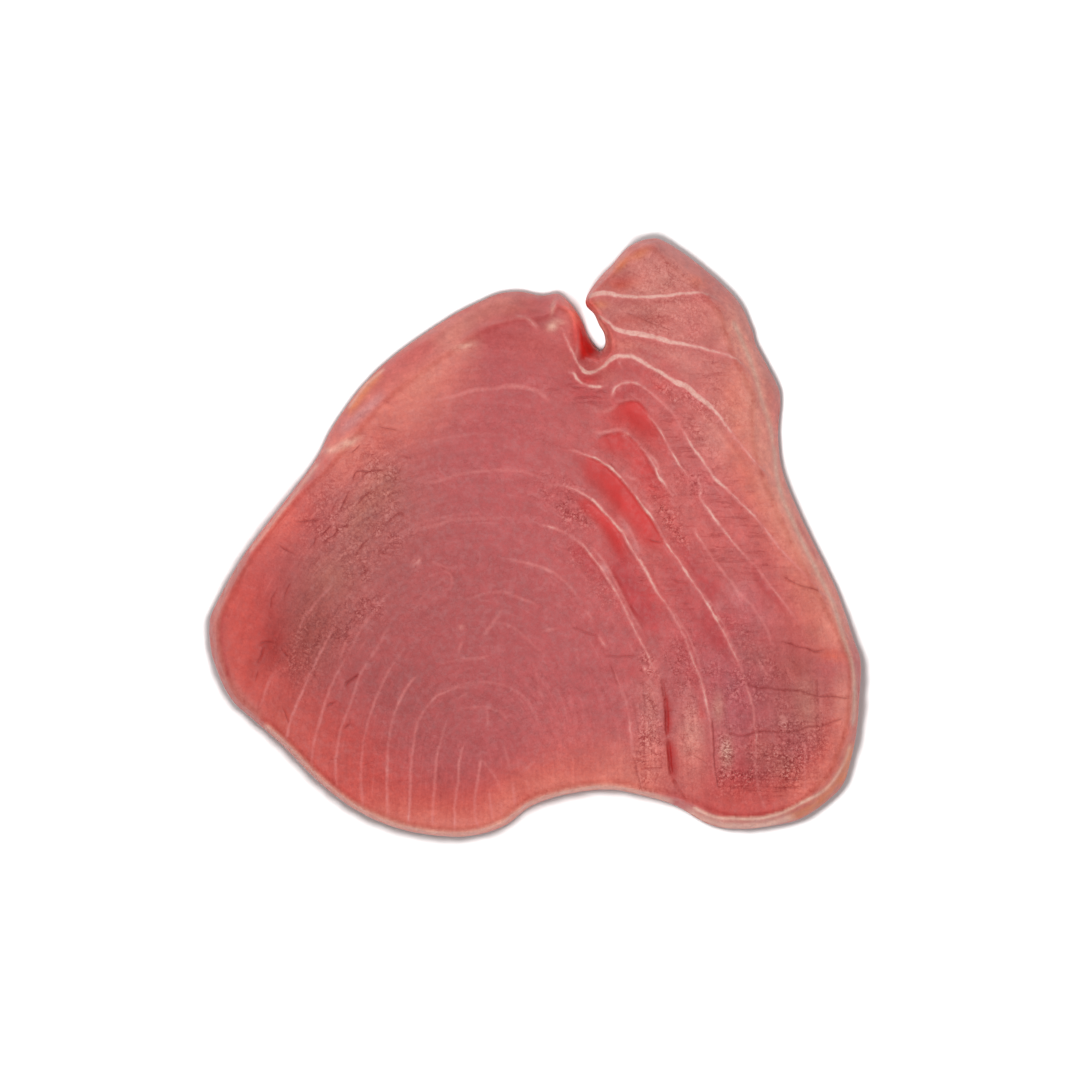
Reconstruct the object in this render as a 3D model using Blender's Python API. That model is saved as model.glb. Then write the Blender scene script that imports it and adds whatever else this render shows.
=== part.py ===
"""A raw tuna steak: one slice cut straight across a loin, with two lobes that part at a notch.

The slice lies on its flat cut face. Its side wall leans inwards on its way up, more on some
flanks than on others, so the top cut face is smaller than the outline below it. Lengths are
in millimetres up to the point where MM turns them into metres.
"""

import math

import bmesh
import bpy
from mathutils import Vector
from mathutils.geometry import delaunay_2d_cdt

MM = 0.001
NAME = "tuna_steak"

# Driving dimensions.
LENGTH = 150.0  # along X
THICKNESS = 22.0  # up to the highest spot of the top face
WALL_STEP = 2.6  # spacing of the points round the outline
TOP_STEP = 4.4  # spacing of the points inside the top face
CREST_STEP = 3.2  # spacing of the points along a crest or a gash
RIM_CLEARANCE = 1.7  # least distance from a point inside the top face to its rim
FLESH = (0.55, 0.12, 0.11, 1.0)
FLESH_ROUGHNESS = 0.4

# The outline, clockwise, as (x, y, lean). Lean is how far the rim of the top face stands in
# from the outline. The shape as drawn here is brought to LENGTH and THICKNESS at the end.
OUTLINE = (
    # shoulder of the left lobe, up to the notch
    (-50.5, 17.5, 2.4), (-46.4, 25.4, 4.2), (-39.7, 34.6, 4.8), (-31.8, 42.0, 5.6),
    (-20.8, 49.6, 5.6), (-14.4, 53.1, 5.4), (-8.6, 55.6, 5.6), (-3.6, 56.1, 5.0),
    (1.2, 55.2, 4.2), (5.2, 55.6, 2.4), (8.2, 52.9, 0.8),
    # the notch: left wall, foot, right wall with its small hook
    (10.4, 49.5, 0.9), (12.1, 45.5, 2.2), (14.0, 42.9, 2.8), (15.0, 42.6, 2.6), (15.9, 44.2, 1.0),
    (15.6, 46.5, 0.4), (14.5, 48.5, 0.2), (13.3, 51.0, 0.2), (11.5, 53.0, 0.2), (11.7, 55.2, 0.4),
    # the right lobe
    (14.2, 58.8, 0.8), (17.3, 62.1, 0.9), (21.4, 66.5, 1.0), (26.5, 68.3, 1.4), (30.3, 67.2, 2.4),
    (37.6, 62.1, 3.2), (46.0, 54.3, 4.0), (49.4, 47.5, 4.6),
    # right flank, down to the foot
    (50.6, 43.5, 4.6), (55.2, 34.8, 4.8), (56.0, 30.5, 5.0), (55.5, 23.0, 4.6), (56.7, 14.3, 3.4),
    (61.5, 2.8, 3.2), (68.0, -10.3, 3.2), (70.6, -17.0, 2.4), (72.6, -23.1, 1.6),
    # the right foot
    (74.4, -28.8, 1.6), (74.1, -36.5, 1.4), (73.5, -44.4, 1.6), (72.4, -50.1, 2.2),
    (70.6, -56.3, 3.0), (67.0, -60.4, 3.2), (60.8, -64.6, 2.6), (54.0, -66.3, 2.0),
    (46.9, -67.0, 1.8), (39.8, -66.0, 2.0), (31.8, -61.6, 1.4),
    # the hollow between the feet
    (24.0, -59.2, 0.8), (16.6, -57.9, 0.8), (8.0, -58.8, 0.8), (-0.7, -61.5, 0.9),
    (-7.6, -66.4, 0.9),
    # the belly and the left corner
    (-16.8, -68.7, 0.9), (-28.9, -67.5, 0.9), (-39.6, -63.5, 0.9), (-48.9, -56.9, 1.0),
    (-58.0, -47.8, 1.0), (-64.3, -42.3, 1.0), (-70.1, -36.7, 1.0), (-74.0, -27.8, 1.2),
    (-74.8, -20.6, 1.3), (-73.6, -16.1, 1.3), (-66.8, -4.1, 1.0), (-56.7, 9.1, 1.0),
)

# Rings of the wall, from the cut face below to the rim of the top face, as (share of the
# height, share of the lean, inset that rounds both edges).
WALL_RINGS = (
    (0.000, 0.00, 1.7), (0.035, 0.00, 0.7), (0.120, 0.00, 0.1), (0.300, 0.10, 0.0),
    (0.520, 0.42, 0.0), (0.720, 0.76, 0.1), (0.870, 0.95, 0.5), (0.960, 1.00, 1.2),
    (1.000, 1.00, 2.4),
)

# Broad swells and hollows of the top face, as (x, y, radius along X, radius along Y, rise).
SWELLS = (
    (-14.0, -12.0, 46.0, 40.0, 1.0),  # the domed belly
    (-68.0, -22.0, 16.0, 18.0, -2.4),  # the left corner thins out
    (-18.0, -66.0, 34.0, 9.0, -1.4),  # towards the lower edge
    (27.0, 62.0, 13.0, 12.0, -2.0),  # towards the tip of the right lobe
    (-4.0, 50.0, 16.0, 8.0, -1.2),  # towards the tip of the left lobe
    (66.0, -30.0, 10.0, 26.0, -1.2),  # towards the right flank
    (50.0, -60.0, 24.0, 9.0, -1.4),  # towards the lower right edge
    (24.0, 29.0, 6.5, 4.5, -1.3),  # smooth scoop under the hooked layer
    (20.5, 7.0, 3.8, 11.0, -1.1),  # smooth scoop beside the main layer
    (13.5, 39.5, 3.2, 3.2, -2.4),  # where the flesh sinks towards the notch
)
SWELL_LEVEL = THICKNESS - 1.1  # level of the top face away from every swell

# Crests where the muscle layers meet in the right half, each drawn from the notch outwards.
CREST_RISE = 0.45
CREST_HALF_WIDTH = 1.5
CRESTS = (
    ((14.5, 55.6), (26.0, 55.0), (35.5, 55.3), (41.0, 54.2)),
    ((15.5, 49.0), (21.0, 47.4), (32.0, 44.6), (43.5, 41.3), (48.5, 37.4)),
    ((11.5, 37.8), (18.2, 41.3), (26.0, 39.8), (34.7, 34.4), (44.5, 25.4), (55.0, 10.5)),
    (
        (18.0, 35.0), (23.0, 35.6), (30.2, 29.4), (37.5, 19.4), (48.0, 7.0),
        (58.0, -3.6), (64.5, -11.0),
    ),
    (
        (12.0, 28.7), (19.0, 31.5), (25.0, 29.6), (31.0, 20.6), (38.0, 9.0),
        (47.0, -3.1), (58.0, -16.4),
    ),
    (
        (12.5, 18.8), (22.4, 10.5), (31.0, -2.0), (39.0, -14.6), (46.2, -28.0),
        (50.0, -42.0), (50.3, -55.0),
    ),
    (
        (-14.0, 15.4), (-1.0, 14.4), (9.2, 10.6), (19.0, 2.2), (28.0, -12.6),
        (37.4, -32.5), (40.8, -52.0),
    ),
)

# A narrow gash opens along one of the layers, down to the lower right.
GASH = ((28.8, -32.0), (30.4, -38.5), (30.5, -46.0), (30.9, -53.5))
GASH_DEPTH = 4.0
GASH_HALF_WIDTH = 1.1


def catmull_rom(before, start, end, after, share):
    """The point at this share of the way from start to end, on a smooth curve through all four."""
    linear = [(c - a) / 2 for a, c in zip(before, end)]
    square = [a - 2.5 * b + 2 * c - d / 2 for a, b, c, d in zip(before, start, end, after)]
    cube = [1.5 * (b - c) + (d - a) / 2 for a, b, c, d in zip(before, start, end, after)]
    return tuple(
        place + share * (slope + share * (curve + share * twist))
        for place, slope, curve, twist in zip(start, linear, square, cube)
    )


def smooth_points(stations, step, closed):
    """Points about a step apart on a smooth curve through the stations."""
    count = len(stations)
    points = []
    for i in range(count if closed else count - 1):
        start, end = stations[i], stations[(i + 1) % count]
        before = stations[(i - 1) % count] if closed or i > 0 else start
        after = stations[(i + 2) % count] if closed or i + 2 < count else end
        pieces = max(1, round(math.dist(start[:2], end[:2]) / step))
        points += [catmull_rom(before, start, end, after, k / pieces) for k in range(pieces)]
    if not closed:
        points.append(stations[-1])
    return points


def left_normals(points, closed):
    """A unit vector at each point of a path, square to it and to its left."""
    count = len(points)
    normals = []
    for i in range(count):
        ahead = points[(i + 1) % count] if closed else points[min(i + 1, count - 1)]
        behind = points[(i - 1) % count] if closed else points[max(i - 1, 0)]
        along = Vector((ahead[0] - behind[0], ahead[1] - behind[1])).normalized()
        normals.append(Vector((-along.y, along.x)))
    return normals


def top_height(x, y):
    """The height of the top face, without its crests and its gash."""
    height = SWELL_LEVEL
    for centre_x, centre_y, radius_x, radius_y, rise in SWELLS:
        reach = ((x - centre_x) / radius_x) ** 2 + ((y - centre_y) / radius_y) ** 2
        height += rise * math.exp(-reach)
    return height


def wall_rings(outline):
    """The rings of the wall, lowest first, each with one point for every point of the outline."""
    inwards = [-normal for normal in left_normals(outline, closed=True)]
    rings = []
    for height_share, lean_share, inset in WALL_RINGS:
        ring = []
        for (x, y, lean), inward in zip(outline, inwards):
            rim = Vector((x, y)) + inward * (lean + WALL_RINGS[-1][2])
            place = Vector((x, y)) + inward * (lean * lean_share + inset)
            ring.append((place.x, place.y, height_share * top_height(rim.x, rim.y)))
        rings.append(ring)
    return rings


def rows_along(stations, half_width, rise):
    """Three rows of points along a crest or a gash: its middle line, raised or sunk, and both feet."""
    middle = smooth_points(stations, CREST_STEP, closed=False)
    normals = left_normals(middle, closed=False)
    rows = []
    for offset, lift in ((0.0, rise), (half_width, 0.0), (-half_width, 0.0)):
        for (x, y), normal in zip(middle, normals):
            place = Vector((x, y)) + normal * offset
            rows.append((place.x, place.y, top_height(place.x, place.y) + lift))
    return rows


def is_clear(point, others, distance):
    """True if no other point lies within this distance in plan."""
    return all(math.dist(point[:2], other[:2]) >= distance for other in others)


def is_inside(point, loop):
    """True if the point lies inside the closed loop in plan."""
    inside = False
    for start, end in zip(loop, loop[1:] + loop[:1]):
        if (start[1] > point[1]) != (end[1] > point[1]):
            crossing = start[0] + (point[1] - start[1]) / (end[1] - start[1]) * (end[0] - start[0])
            inside ^= point[0] < crossing
    return inside


def points_inside(rim):
    """The points of the top face inside its rim: first the gash and the crests, then an even grid."""
    chosen = rows_along(GASH, GASH_HALF_WIDTH, -GASH_DEPTH)
    for crest in CRESTS:
        for point in rows_along(crest, CREST_HALF_WIDTH, CREST_RISE):
            if is_clear(point, chosen, 0.5 * CREST_HALF_WIDTH):
                chosen.append(point)
    row_step = TOP_STEP * math.sqrt(3) / 2
    half_rows = int(LENGTH / 2 / row_step)
    for row in range(-half_rows, half_rows + 1):
        shift = TOP_STEP / 2 * (row % 2)
        for column in range(-half_rows, half_rows + 1):
            x, y = column * TOP_STEP + shift, row * row_step
            if is_clear((x, y), chosen, 0.6 * TOP_STEP):
                chosen.append((x, y, top_height(x, y)))
    return [p for p in chosen if is_inside(p, rim) and is_clear(p, rim, RIM_CLEARANCE)]


def faces_over(loop, inner_points):
    """Triangles that fill the loop and use every inner point, as indices into loop + inner_points."""
    flat = [Vector(point[:2]) for point in loop + inner_points]
    edges = [(i, (i + 1) % len(loop)) for i in range(len(loop))]
    filled = delaunay_2d_cdt(flat, edges, [], 1, 1e-6)
    sources = filled[3]
    return [tuple(sources[corner][0] for corner in face) for face in filled[2]]


def steak_mesh():
    """The closed surface, in millimetres: the cut face below, the leaning wall, and the top face."""
    outline = smooth_points(OUTLINE, WALL_STEP, closed=True)
    rings = wall_rings(outline)
    count = len(outline)
    inner = points_inside(rings[-1])

    body = bmesh.new()
    verts = [[body.verts.new(point) for point in ring] for ring in rings]
    top_verts = verts[-1] + [body.verts.new(point) for point in inner]
    for lower, upper in zip(verts, verts[1:]):
        for i in range(count):
            j = (i + 1) % count
            body.faces.new((lower[i], upper[i], upper[j], lower[j]))
    for face in faces_over(rings[0], []):
        body.faces.new([verts[0][corner] for corner in face])
    for face in faces_over(rings[-1], inner):
        body.faces.new([top_verts[corner] for corner in face])
    bmesh.ops.recalc_face_normals(body, faces=body.faces)

    mesh = bpy.data.meshes.new(NAME)
    body.to_mesh(mesh)
    body.free()
    return mesh


def brought_to_size(mesh):
    """Scales the mesh to the driving dimensions, in metres, with its box standing on the origin."""
    corners = [vertex.co for vertex in mesh.vertices]
    low = Vector([min(corner[axis] for corner in corners) for axis in range(3)])
    high = Vector([max(corner[axis] for corner in corners) for axis in range(3)])
    plan_scale = LENGTH / (high.x - low.x) * MM
    height_scale = THICKNESS / (high.z - low.z) * MM
    base = Vector(((low.x + high.x) / 2, (low.y + high.y) / 2, low.z))
    for vertex in mesh.vertices:
        vertex.co = (vertex.co - base) * Vector((plan_scale, plan_scale, height_scale))


def flesh_material():
    """Wet raw flesh."""
    material = bpy.data.materials.new("tuna_flesh")
    material.use_nodes = True
    shader = material.node_tree.nodes["Principled BSDF"]
    shader.inputs["Base Color"].default_value = FLESH
    shader.inputs["Roughness"].default_value = FLESH_ROUGHNESS
    shader.inputs["Metallic"].default_value = 0.0
    material.diffuse_color = FLESH
    return material


def main():
    for old in list(bpy.data.objects):
        bpy.data.objects.remove(old)
    collection = bpy.data.collections.new(NAME)
    bpy.context.scene.collection.children.link(collection)
    mesh = steak_mesh()
    brought_to_size(mesh)
    mesh.shade_smooth()
    mesh.set_sharp_from_angle(angle=math.radians(40))
    mesh.materials.append(flesh_material())
    collection.objects.link(bpy.data.objects.new(NAME, mesh))


main()
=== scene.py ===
"""A raw tuna steak, seen from above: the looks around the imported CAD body.

Plan positions are in millimetres as drawn, with the origin near the middle of the steak. They are
brought onto the CAD body's box by its length, so that nothing here moves or resizes the part.
"""
import math

import bpy
import numpy as np
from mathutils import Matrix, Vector, noise
from mathutils.geometry import delaunay_2d_cdt


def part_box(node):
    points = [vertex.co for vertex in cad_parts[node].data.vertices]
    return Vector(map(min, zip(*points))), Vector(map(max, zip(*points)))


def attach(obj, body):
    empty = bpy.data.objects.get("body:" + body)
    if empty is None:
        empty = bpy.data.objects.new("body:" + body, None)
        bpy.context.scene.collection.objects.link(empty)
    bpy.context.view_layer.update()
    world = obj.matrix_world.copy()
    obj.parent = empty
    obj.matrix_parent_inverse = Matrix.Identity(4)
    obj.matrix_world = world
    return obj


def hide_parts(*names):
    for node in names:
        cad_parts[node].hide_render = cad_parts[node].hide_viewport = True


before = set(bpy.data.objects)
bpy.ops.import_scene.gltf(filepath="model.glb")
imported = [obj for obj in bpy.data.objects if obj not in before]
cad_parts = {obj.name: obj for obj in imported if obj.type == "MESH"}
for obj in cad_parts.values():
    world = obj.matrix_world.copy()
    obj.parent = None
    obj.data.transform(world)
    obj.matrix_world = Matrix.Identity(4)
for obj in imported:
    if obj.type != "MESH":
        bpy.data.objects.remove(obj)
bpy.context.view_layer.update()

NODE = "tuna_steak"

# The camera looks straight down on this place, from this height, and sees this width. These and
# all other sizes here are in millimetres, unless a comment says otherwise.
EYE = np.array([0.92, -0.80])
EYE_HEIGHT = 1380.0
VIEW_WIDTH = 248.4

# Spacing of the mesh: round the rim, over the top face, along its lines and on the underside. The
# wall is divided into this many pieces from each of its rings to the next.
RIM_STEP = 0.52
TOP_STEP = 0.57
LINE_STEP = 0.5
UNDER_STEP = 1.7
RING_PIECES = (1, 2, 4, 5, 5, 4, 3)

# Half the size of the grid of points that fills both cut faces.
GRID_WIDTH = 78
GRID_DEPTH = 72

# The rows of points under a line: the least distance of its edges from its middle, the gap to the
# rows outside them, and how far a point of each row keeps from all the others.
LEAST_ROW = 0.16
ROW_GAP = 0.36
ROW_SPACING = (0.17, 0.17, 0.17, 0.26, 0.26)

# How far the lines waver to either side, over what length, and how closely their colour and depth
# follow them.
WAVER = 0.13
WAVER_SIZE = 1.3
MARK_STEP = 0.25

# The outline, clockwise from the left flank: x, y, and how far the wall leans in towards the top.
OUTLINE = (
    (-50.5, 17.5, 2.4), (-46.4, 25.4, 4.2), (-39.7, 34.6, 4.8), (-31.8, 42, 5.6), (-20.8, 49.6, 5.6),
    (-14.4, 53.1, 5.4), (-8.6, 55.6, 5.6), (-3.6, 56.1, 5), (1.2, 55.2, 4.2), (5.2, 55.6, 2.4),
    (8.2, 52.9, 0.8),
    # The notch at the top and the lip on its right side.
    (10.4, 49.5, 0.9), (12.1, 45.5, 2.2), (14, 42.9, 2.8), (15, 42.6, 2.6), (15.9, 44.2, 1),
    (15.6, 46.5, 0.4), (14.5, 48.5, 0.2), (13.3, 51, 0.2), (11.5, 53, 0.2), (11.7, 55.2, 0.4),
    # The right lobe and the right flank.
    (14.2, 58.8, 0.8), (17.3, 62.1, 0.9), (21.4, 66.5, 1), (26.5, 68.3, 1.4), (30.3, 67.2, 2.4),
    (37.6, 62.1, 3.2), (46, 54.3, 4), (49.4, 47.5, 4.6), (50.6, 43.5, 4.6), (55.2, 34.8, 4.8),
    (56, 30.5, 5), (55.5, 23, 4.6), (56.7, 14.3, 3.4), (61.5, 2.8, 3.2), (68, -10.3, 3.2), (70.6, -17, 2.4),
    (72.6, -23.1, 1.6), (74.4, -28.8, 1.6), (74.1, -36.5, 1.4), (73.5, -44.4, 1.6),
    # The lower right corner, the bay in the lower edge and the lower left corner.
    (72.4, -50.1, 2.2), (70.6, -56.3, 3), (67, -60.4, 3.2), (60.8, -64.6, 2.6), (54, -66.3, 2),
    (46.9, -67, 1.8), (39.8, -66, 2), (31.8, -61.6, 1.4), (24, -59.2, 0.8), (16.6, -57.9, 0.8),
    (8, -58.8, 0.8), (-0.7, -61.5, 0.9), (-7.6, -66.4, 0.9), (-16.8, -68.7, 0.9), (-28.9, -67.5, 0.9),
    (-39.6, -63.5, 0.9), (-48.9, -56.9, 1), (-58, -47.8, 1), (-64.3, -42.3, 1), (-70.1, -36.7, 1),
    (-74, -27.8, 1.2), (-74.8, -20.6, 1.3), (-73.6, -16.1, 1.3), (-66.8, -4.1, 1), (-56.7, 9.1, 1),
)

# The wall's rings, lowest first: share of the height, share of the lean, inset from the outline.
WALL_RINGS = (
    (0, 0, 1.7), (0.035, 0, 0.7), (0.12, 0, 0.1), (0.3, 0.02, 0), (0.52, 0.26, 0), (0.72, 0.66, 0.1),
    (0.87, 0.92, 0.5), (0.96, 1, 1.2),
)

# The width of the rounded shoulder inside the rim, the share of the height that it drops by, and
# the spacing of the layers seen on the wall.
SHOULDER = 1.3
EDGE_DROP = 0.04
LAYER_SPACING = 5.6

# Broad swells of the top face: x, y, both radii, and the rise. They lift or lower this level.
SWELLS = (
    (-14, -12, 46, 40, 1), (-68, -22, 16, 18, -2.4), (-18, -66, 34, 9, -1.4), (27, 62, 13, 12, -2),
    (-4, 50, 16, 8, -1.2), (66, -30, 10, 26, -1.2), (50, -60, 24, 9, -1.4), (24, 29, 6.5, 4.5, -0.9),
    (20.5, 7, 3.8, 11, -0.8), (13.5, 39.5, 3.2, 3.2, -2.4),
)
SWELL_LEVEL = 20.9

# How strongly the light falls on the top face, and how much sheen it adds to every colour.
LIT, SHEEN = 1.55, 0.040

# Tissue colours as they look in that light, as sRGB from 0 to 255.
TISSUES = {
    "mauve": (179, 89, 91), "plum": (164, 83, 83), "dusk": (169, 98, 93), "brown": (152, 84, 77),
    "green_brown": (172, 106, 95), "olive": (175, 95, 88), "violet": (175, 90, 96),
    "mallow": (196, 107, 111), "coral": (200, 103, 99), "rosy": (208, 133, 124), "red": (191, 80, 75),
    "deep_red": (158, 66, 64), "rim_red": (202, 91, 84), "brick": (184, 92, 86), "salmon": (213, 120, 108),
    "pale_salmon": (219, 143, 128), "orange": (210, 108, 86), "apricot": (215, 126, 88),
    "flush": (226, 112, 100), "hollow": (202, 72, 71), "wine": (181, 71, 74), "gash": (174, 46, 50),
    "pit": (180, 60, 57), "side": (206, 122, 112), "lilac": (198, 132, 131), "grey_pink": (190, 122, 114),
    "clay": (191, 122, 110), "putty": (203, 160, 144), "cream": (228, 178, 160), "web": (222, 138, 134),
    "membrane": (229, 178, 167), "crack": (140, 52, 50), "frost_and_glints": (220, 152, 144),
    "pale_fibre": (224, 150, 144),
}

# Broad fields of tissue: name, x, y, both radii, the turn in degrees where there is one, strength.
FIELDS = (
    ("coral", 40, 10, 30, 40, 30, 0.9), ("rosy", 27, 58, 17, 13, 0.95), ("rosy", 33, 42, 14, 7, -20, 0.6),
    ("rosy", 43, 25, 6.5, 10, -5, 0.85), ("dusk", -46, -12, 15, 24, -25, 0.9),
    ("dusk", -34, 6, 11, 14, -25, 0.6), ("brown", -51.5, -25, 7, 13, -10, 1),
    ("plum", -34, -38, 26, 18.5, 0.88), ("red", 24, -5, 9, 14, 20, 0.25), ("plum", -22, -12, 20, 15, 0.55),
    ("violet", 48, -36, 13, 19, 12, 0.8), ("dusk", 59, -38, 8, 13, 0.6), ("red", -67, -26, 8, 18, 5, 0.95),
    ("coral", 60, -19, 6, 10, 18, 0.75), ("coral", 0, 45, 9, 5, 0.5),
    ("rosy", 16.5, 38.5, 3.6, 2.6, 10, 0.5), ("salmon", 20.5, 44.2, 4, 2, 0.5),
    ("salmon", 35.5, -53, 3.8, 7, 0.5), ("salmon", -30, 30, 12, 9, 30, 0.6),
    ("green_brown", -39.5, 6, 4, 8, -20, 0.6), ("green_brown", -47, -9, 4.5, 4, 0.5),
    ("green_brown", -34.5, 12, 3.4, 4, 0.5), ("rosy", 36, -47, 3.3, 10, 0.8),
    ("rosy", 26.4, -44, 2, 12, 0.45), ("red", 50, -58, 9, 2.6, 0.5), ("clay", 57, -53, 3, 3, 0.45),
    ("wine", 47, -54.6, 2.8, 3.4, 0.45), ("olive", 52, -49.5, 4.6, 5, 0.6), ("olive", 50, -27, 6, 5, 0.35),
    ("salmon", 22, -52, 12, 6, 0.6), ("coral", 34, -54, 7, 7, 0.6), ("coral", 8, -46, 10, 8, 0.3),
)

# Soft bands of tissue along a line: name, half width, strength, and places along it.
BANDS = (
    ("rim_red", 7, 0.9, ((-62, -2), (-69, -14), (-70, -26), (-63.5, -38), (-53.5, -48.5), (-41, -58),
        (-27, -63), (-14, -63.5), (-4, -59.5), (8, -55.5), (20, -55))),
    ("rim_red", 7.5, 0.75, ((-66, -6), (-57, 4), (-50, 12))),
    ("salmon", 4.6, 0.9, ((-44, -60.6), (-36, -64), (-24, -66), (-12, -66), (-4, -60.4), (8, -56.6),
        (20, -56.6), (32, -59))),
    ("salmon", 7, 0.8, ((-54, 8), (-46, 17), (-36, 28), (-24, 37), (-12, 42))),
    ("pale_salmon", 3, 0.4, ((-32, 31), (-26, 36), (-20, 41.5), (-11, 45))),
    ("coral", 4.5, 0.6, ((-40, 33), (-31, 41), (-18, 49), (-4, 54))),
    ("brick", 1.6, 0.6, ((-9, 51), (-5, 52.4), (-1, 52.8), (2.4, 51.8))),
    ("orange", 4, 0.45, ((45, 42), (46, 37), (47, 27), (48.5, 16), (54, 6), (59, -3), (63, -9), (67, -20),
        (69, -29))),
    ("pale_salmon", 4.6, 0.85, ((40, 57), (47, 46), (50, 36), (51.5, 24), (56, 8), (63, -6), (68, -18),
        (71, -29))),
    ("rim_red", 5, 0.75, ((71, -37), (69.5, -48), (64.5, -56), (54, -61.5), (43, -61.5), (33, -58))),
    ("salmon", 4.4, 0.8, ((70, -31), (71, -38), (71, -46), (68.6, -53), (62.4, -58.6), (54, -62))),
    ("salmon", 4.2, 0.6, ((57, -4), (61, -11), (65, -19), (68, -27))),
    ("clay", 2.6, 0.55, ((-25, 43.6), (-17, 48.8), (-9, 53), (-2, 54))),
    ("pale_salmon", 2.6, 0.45, ((-24, 42.6), (-19, 45.6), (-13, 48.6))),
    ("wine", 2.8, 0.65, ((17.4, 0), (20.2, -6.6), (23, -12.4), (26.4, -18.6), (28.4, -23))),
    ("wine", 2.4, 0.5, ((33, -1), (36.4, -7), (39.6, -12.4), (42.6, -18.6), (45, -24.6))),
    ("wine", 2.2, 0.4, ((28.4, -4.4), (31.6, -9.6), (34.8, -15.6), (37.4, -21.4), (39.6, -27.6))),
    ("brick", 1.4, 0.6, ((15, 47.5), (20, 49.6), (27, 50), (32, 49.2))),
)

# Smooth wet hollows beside a layer: name, width, strength, depth, and places with a weight. Each is deepest
# along its line and fades away to the right of it, sooner where its weight is small. Their colour is partly
# the flesh's own deeper red and partly painted shade, where the flesh dips under the layer and down into
# the gash.
HOLLOWS = (
    ("hollow", 7, 0.9, 0.35, ((16.6, 28.6, 0.1), (18.4, 29.6, 0.5), (20.6, 30.8, 0.9), (23, 31, 1),
        (24.6, 29.8, 1), (26.2, 27.2, 0.9), (27.6, 25, 0.8), (29, 22.6, 0.5), (30.4, 20, 0.3),
        (31.8, 17.6, 0))),
    ("hollow", 6.6, 0.85, 0.35, ((12.4, 21, 0), (14.4, 22.4, 0.4), (17, 23.5, 0.9), (20.4, 23.6, 0.9),
        (22.2, 22.2, 0.9), (23.8, 20.4, 0.8), (25.2, 18.4, 0.8), (26.6, 15.8, 0.9), (28, 13, 0.7),
        (30, 9.8, 0.4), (32, 6.6, 0))),
    ("hollow", 6.6, 0.92, 0.5, ((10.6, 18.7, 0.2), (13.6, 17.7, 0.9), (15.8, 16.4, 1), (19, 13.4, 1),
        (21.4, 10.6, 1), (23.3, 8.2, 1), (26, 4.6, 1), (28.3, 0.8, 0.8), (30, -2, 0.2))),
    ("hollow", 3.8, 0.95, 0.35, ((9.6, 9.4, 0.2), (12, 8.3, 0.9), (13.6, 7, 0.9), (16, 4.8, 0.9),
        (18, 2.6, 1), (19.6, 0.2, 1), (20.6, -2.2, 0.8), (22.4, -5.6, 0.2))),
    ("wine", 3.6, 0.65, 0.2, ((8.4, -0.9, 0.1), (10.4, -2.6, 0.9), (12.4, -4.8, 1), (14.2, -7.2, 1),
        (15.8, -10, 0.3))),
    ("wine", 5.2, 0.6, 0.3, ((25.4, -21, 0.1), (23.2, -18.6, 0.9), (21.4, -15.4, 1), (19.8, -12, 1),
        (18.2, -9.2, 1), (16.6, -6.8, 0.2))),
    ("wine", 4.6, 0.65, 0.25, ((39, -14.6, 0), (40.8, -17.4, 0.8), (42.8, -21.2, 1), (44.4, -24.4, 1),
        (46.2, -28.2, 0.2))),
    ("wine", 2.6, 0.5, 0.15, ((50.2, -6.4, 0.1), (52, -8.9, 0.9), (53.6, -11.2, 1), (55.6, -13.6, 0.9),
        (57.6, -16.2, 0.3))),
    ("wine", 2.4, 0.4, 0.1, ((37.6, -10.4, 0.2), (34.6, -5.6, 0.9), (31.6, -1.4, 0.7), (29.6, 2, 0.1))),
    ("gash", 2.3, 0.85, 0.2, ((30, -46.4, 0.1), (29.8, -44.8, 0.8), (29.7, -41.6, 1), (29.6, -39, 0.8),
        (29.4, -36.6, 0.5), (28.8, -33, 0))),
    ("gash", 3, 0.9, 0.2, ((31.6, -57.4, 0), (30.8, -54.6, 0.8), (30.3, -51, 1), (30.1, -48.6, 0.9),
        (30, -46.2, 0.1))),
)

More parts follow.
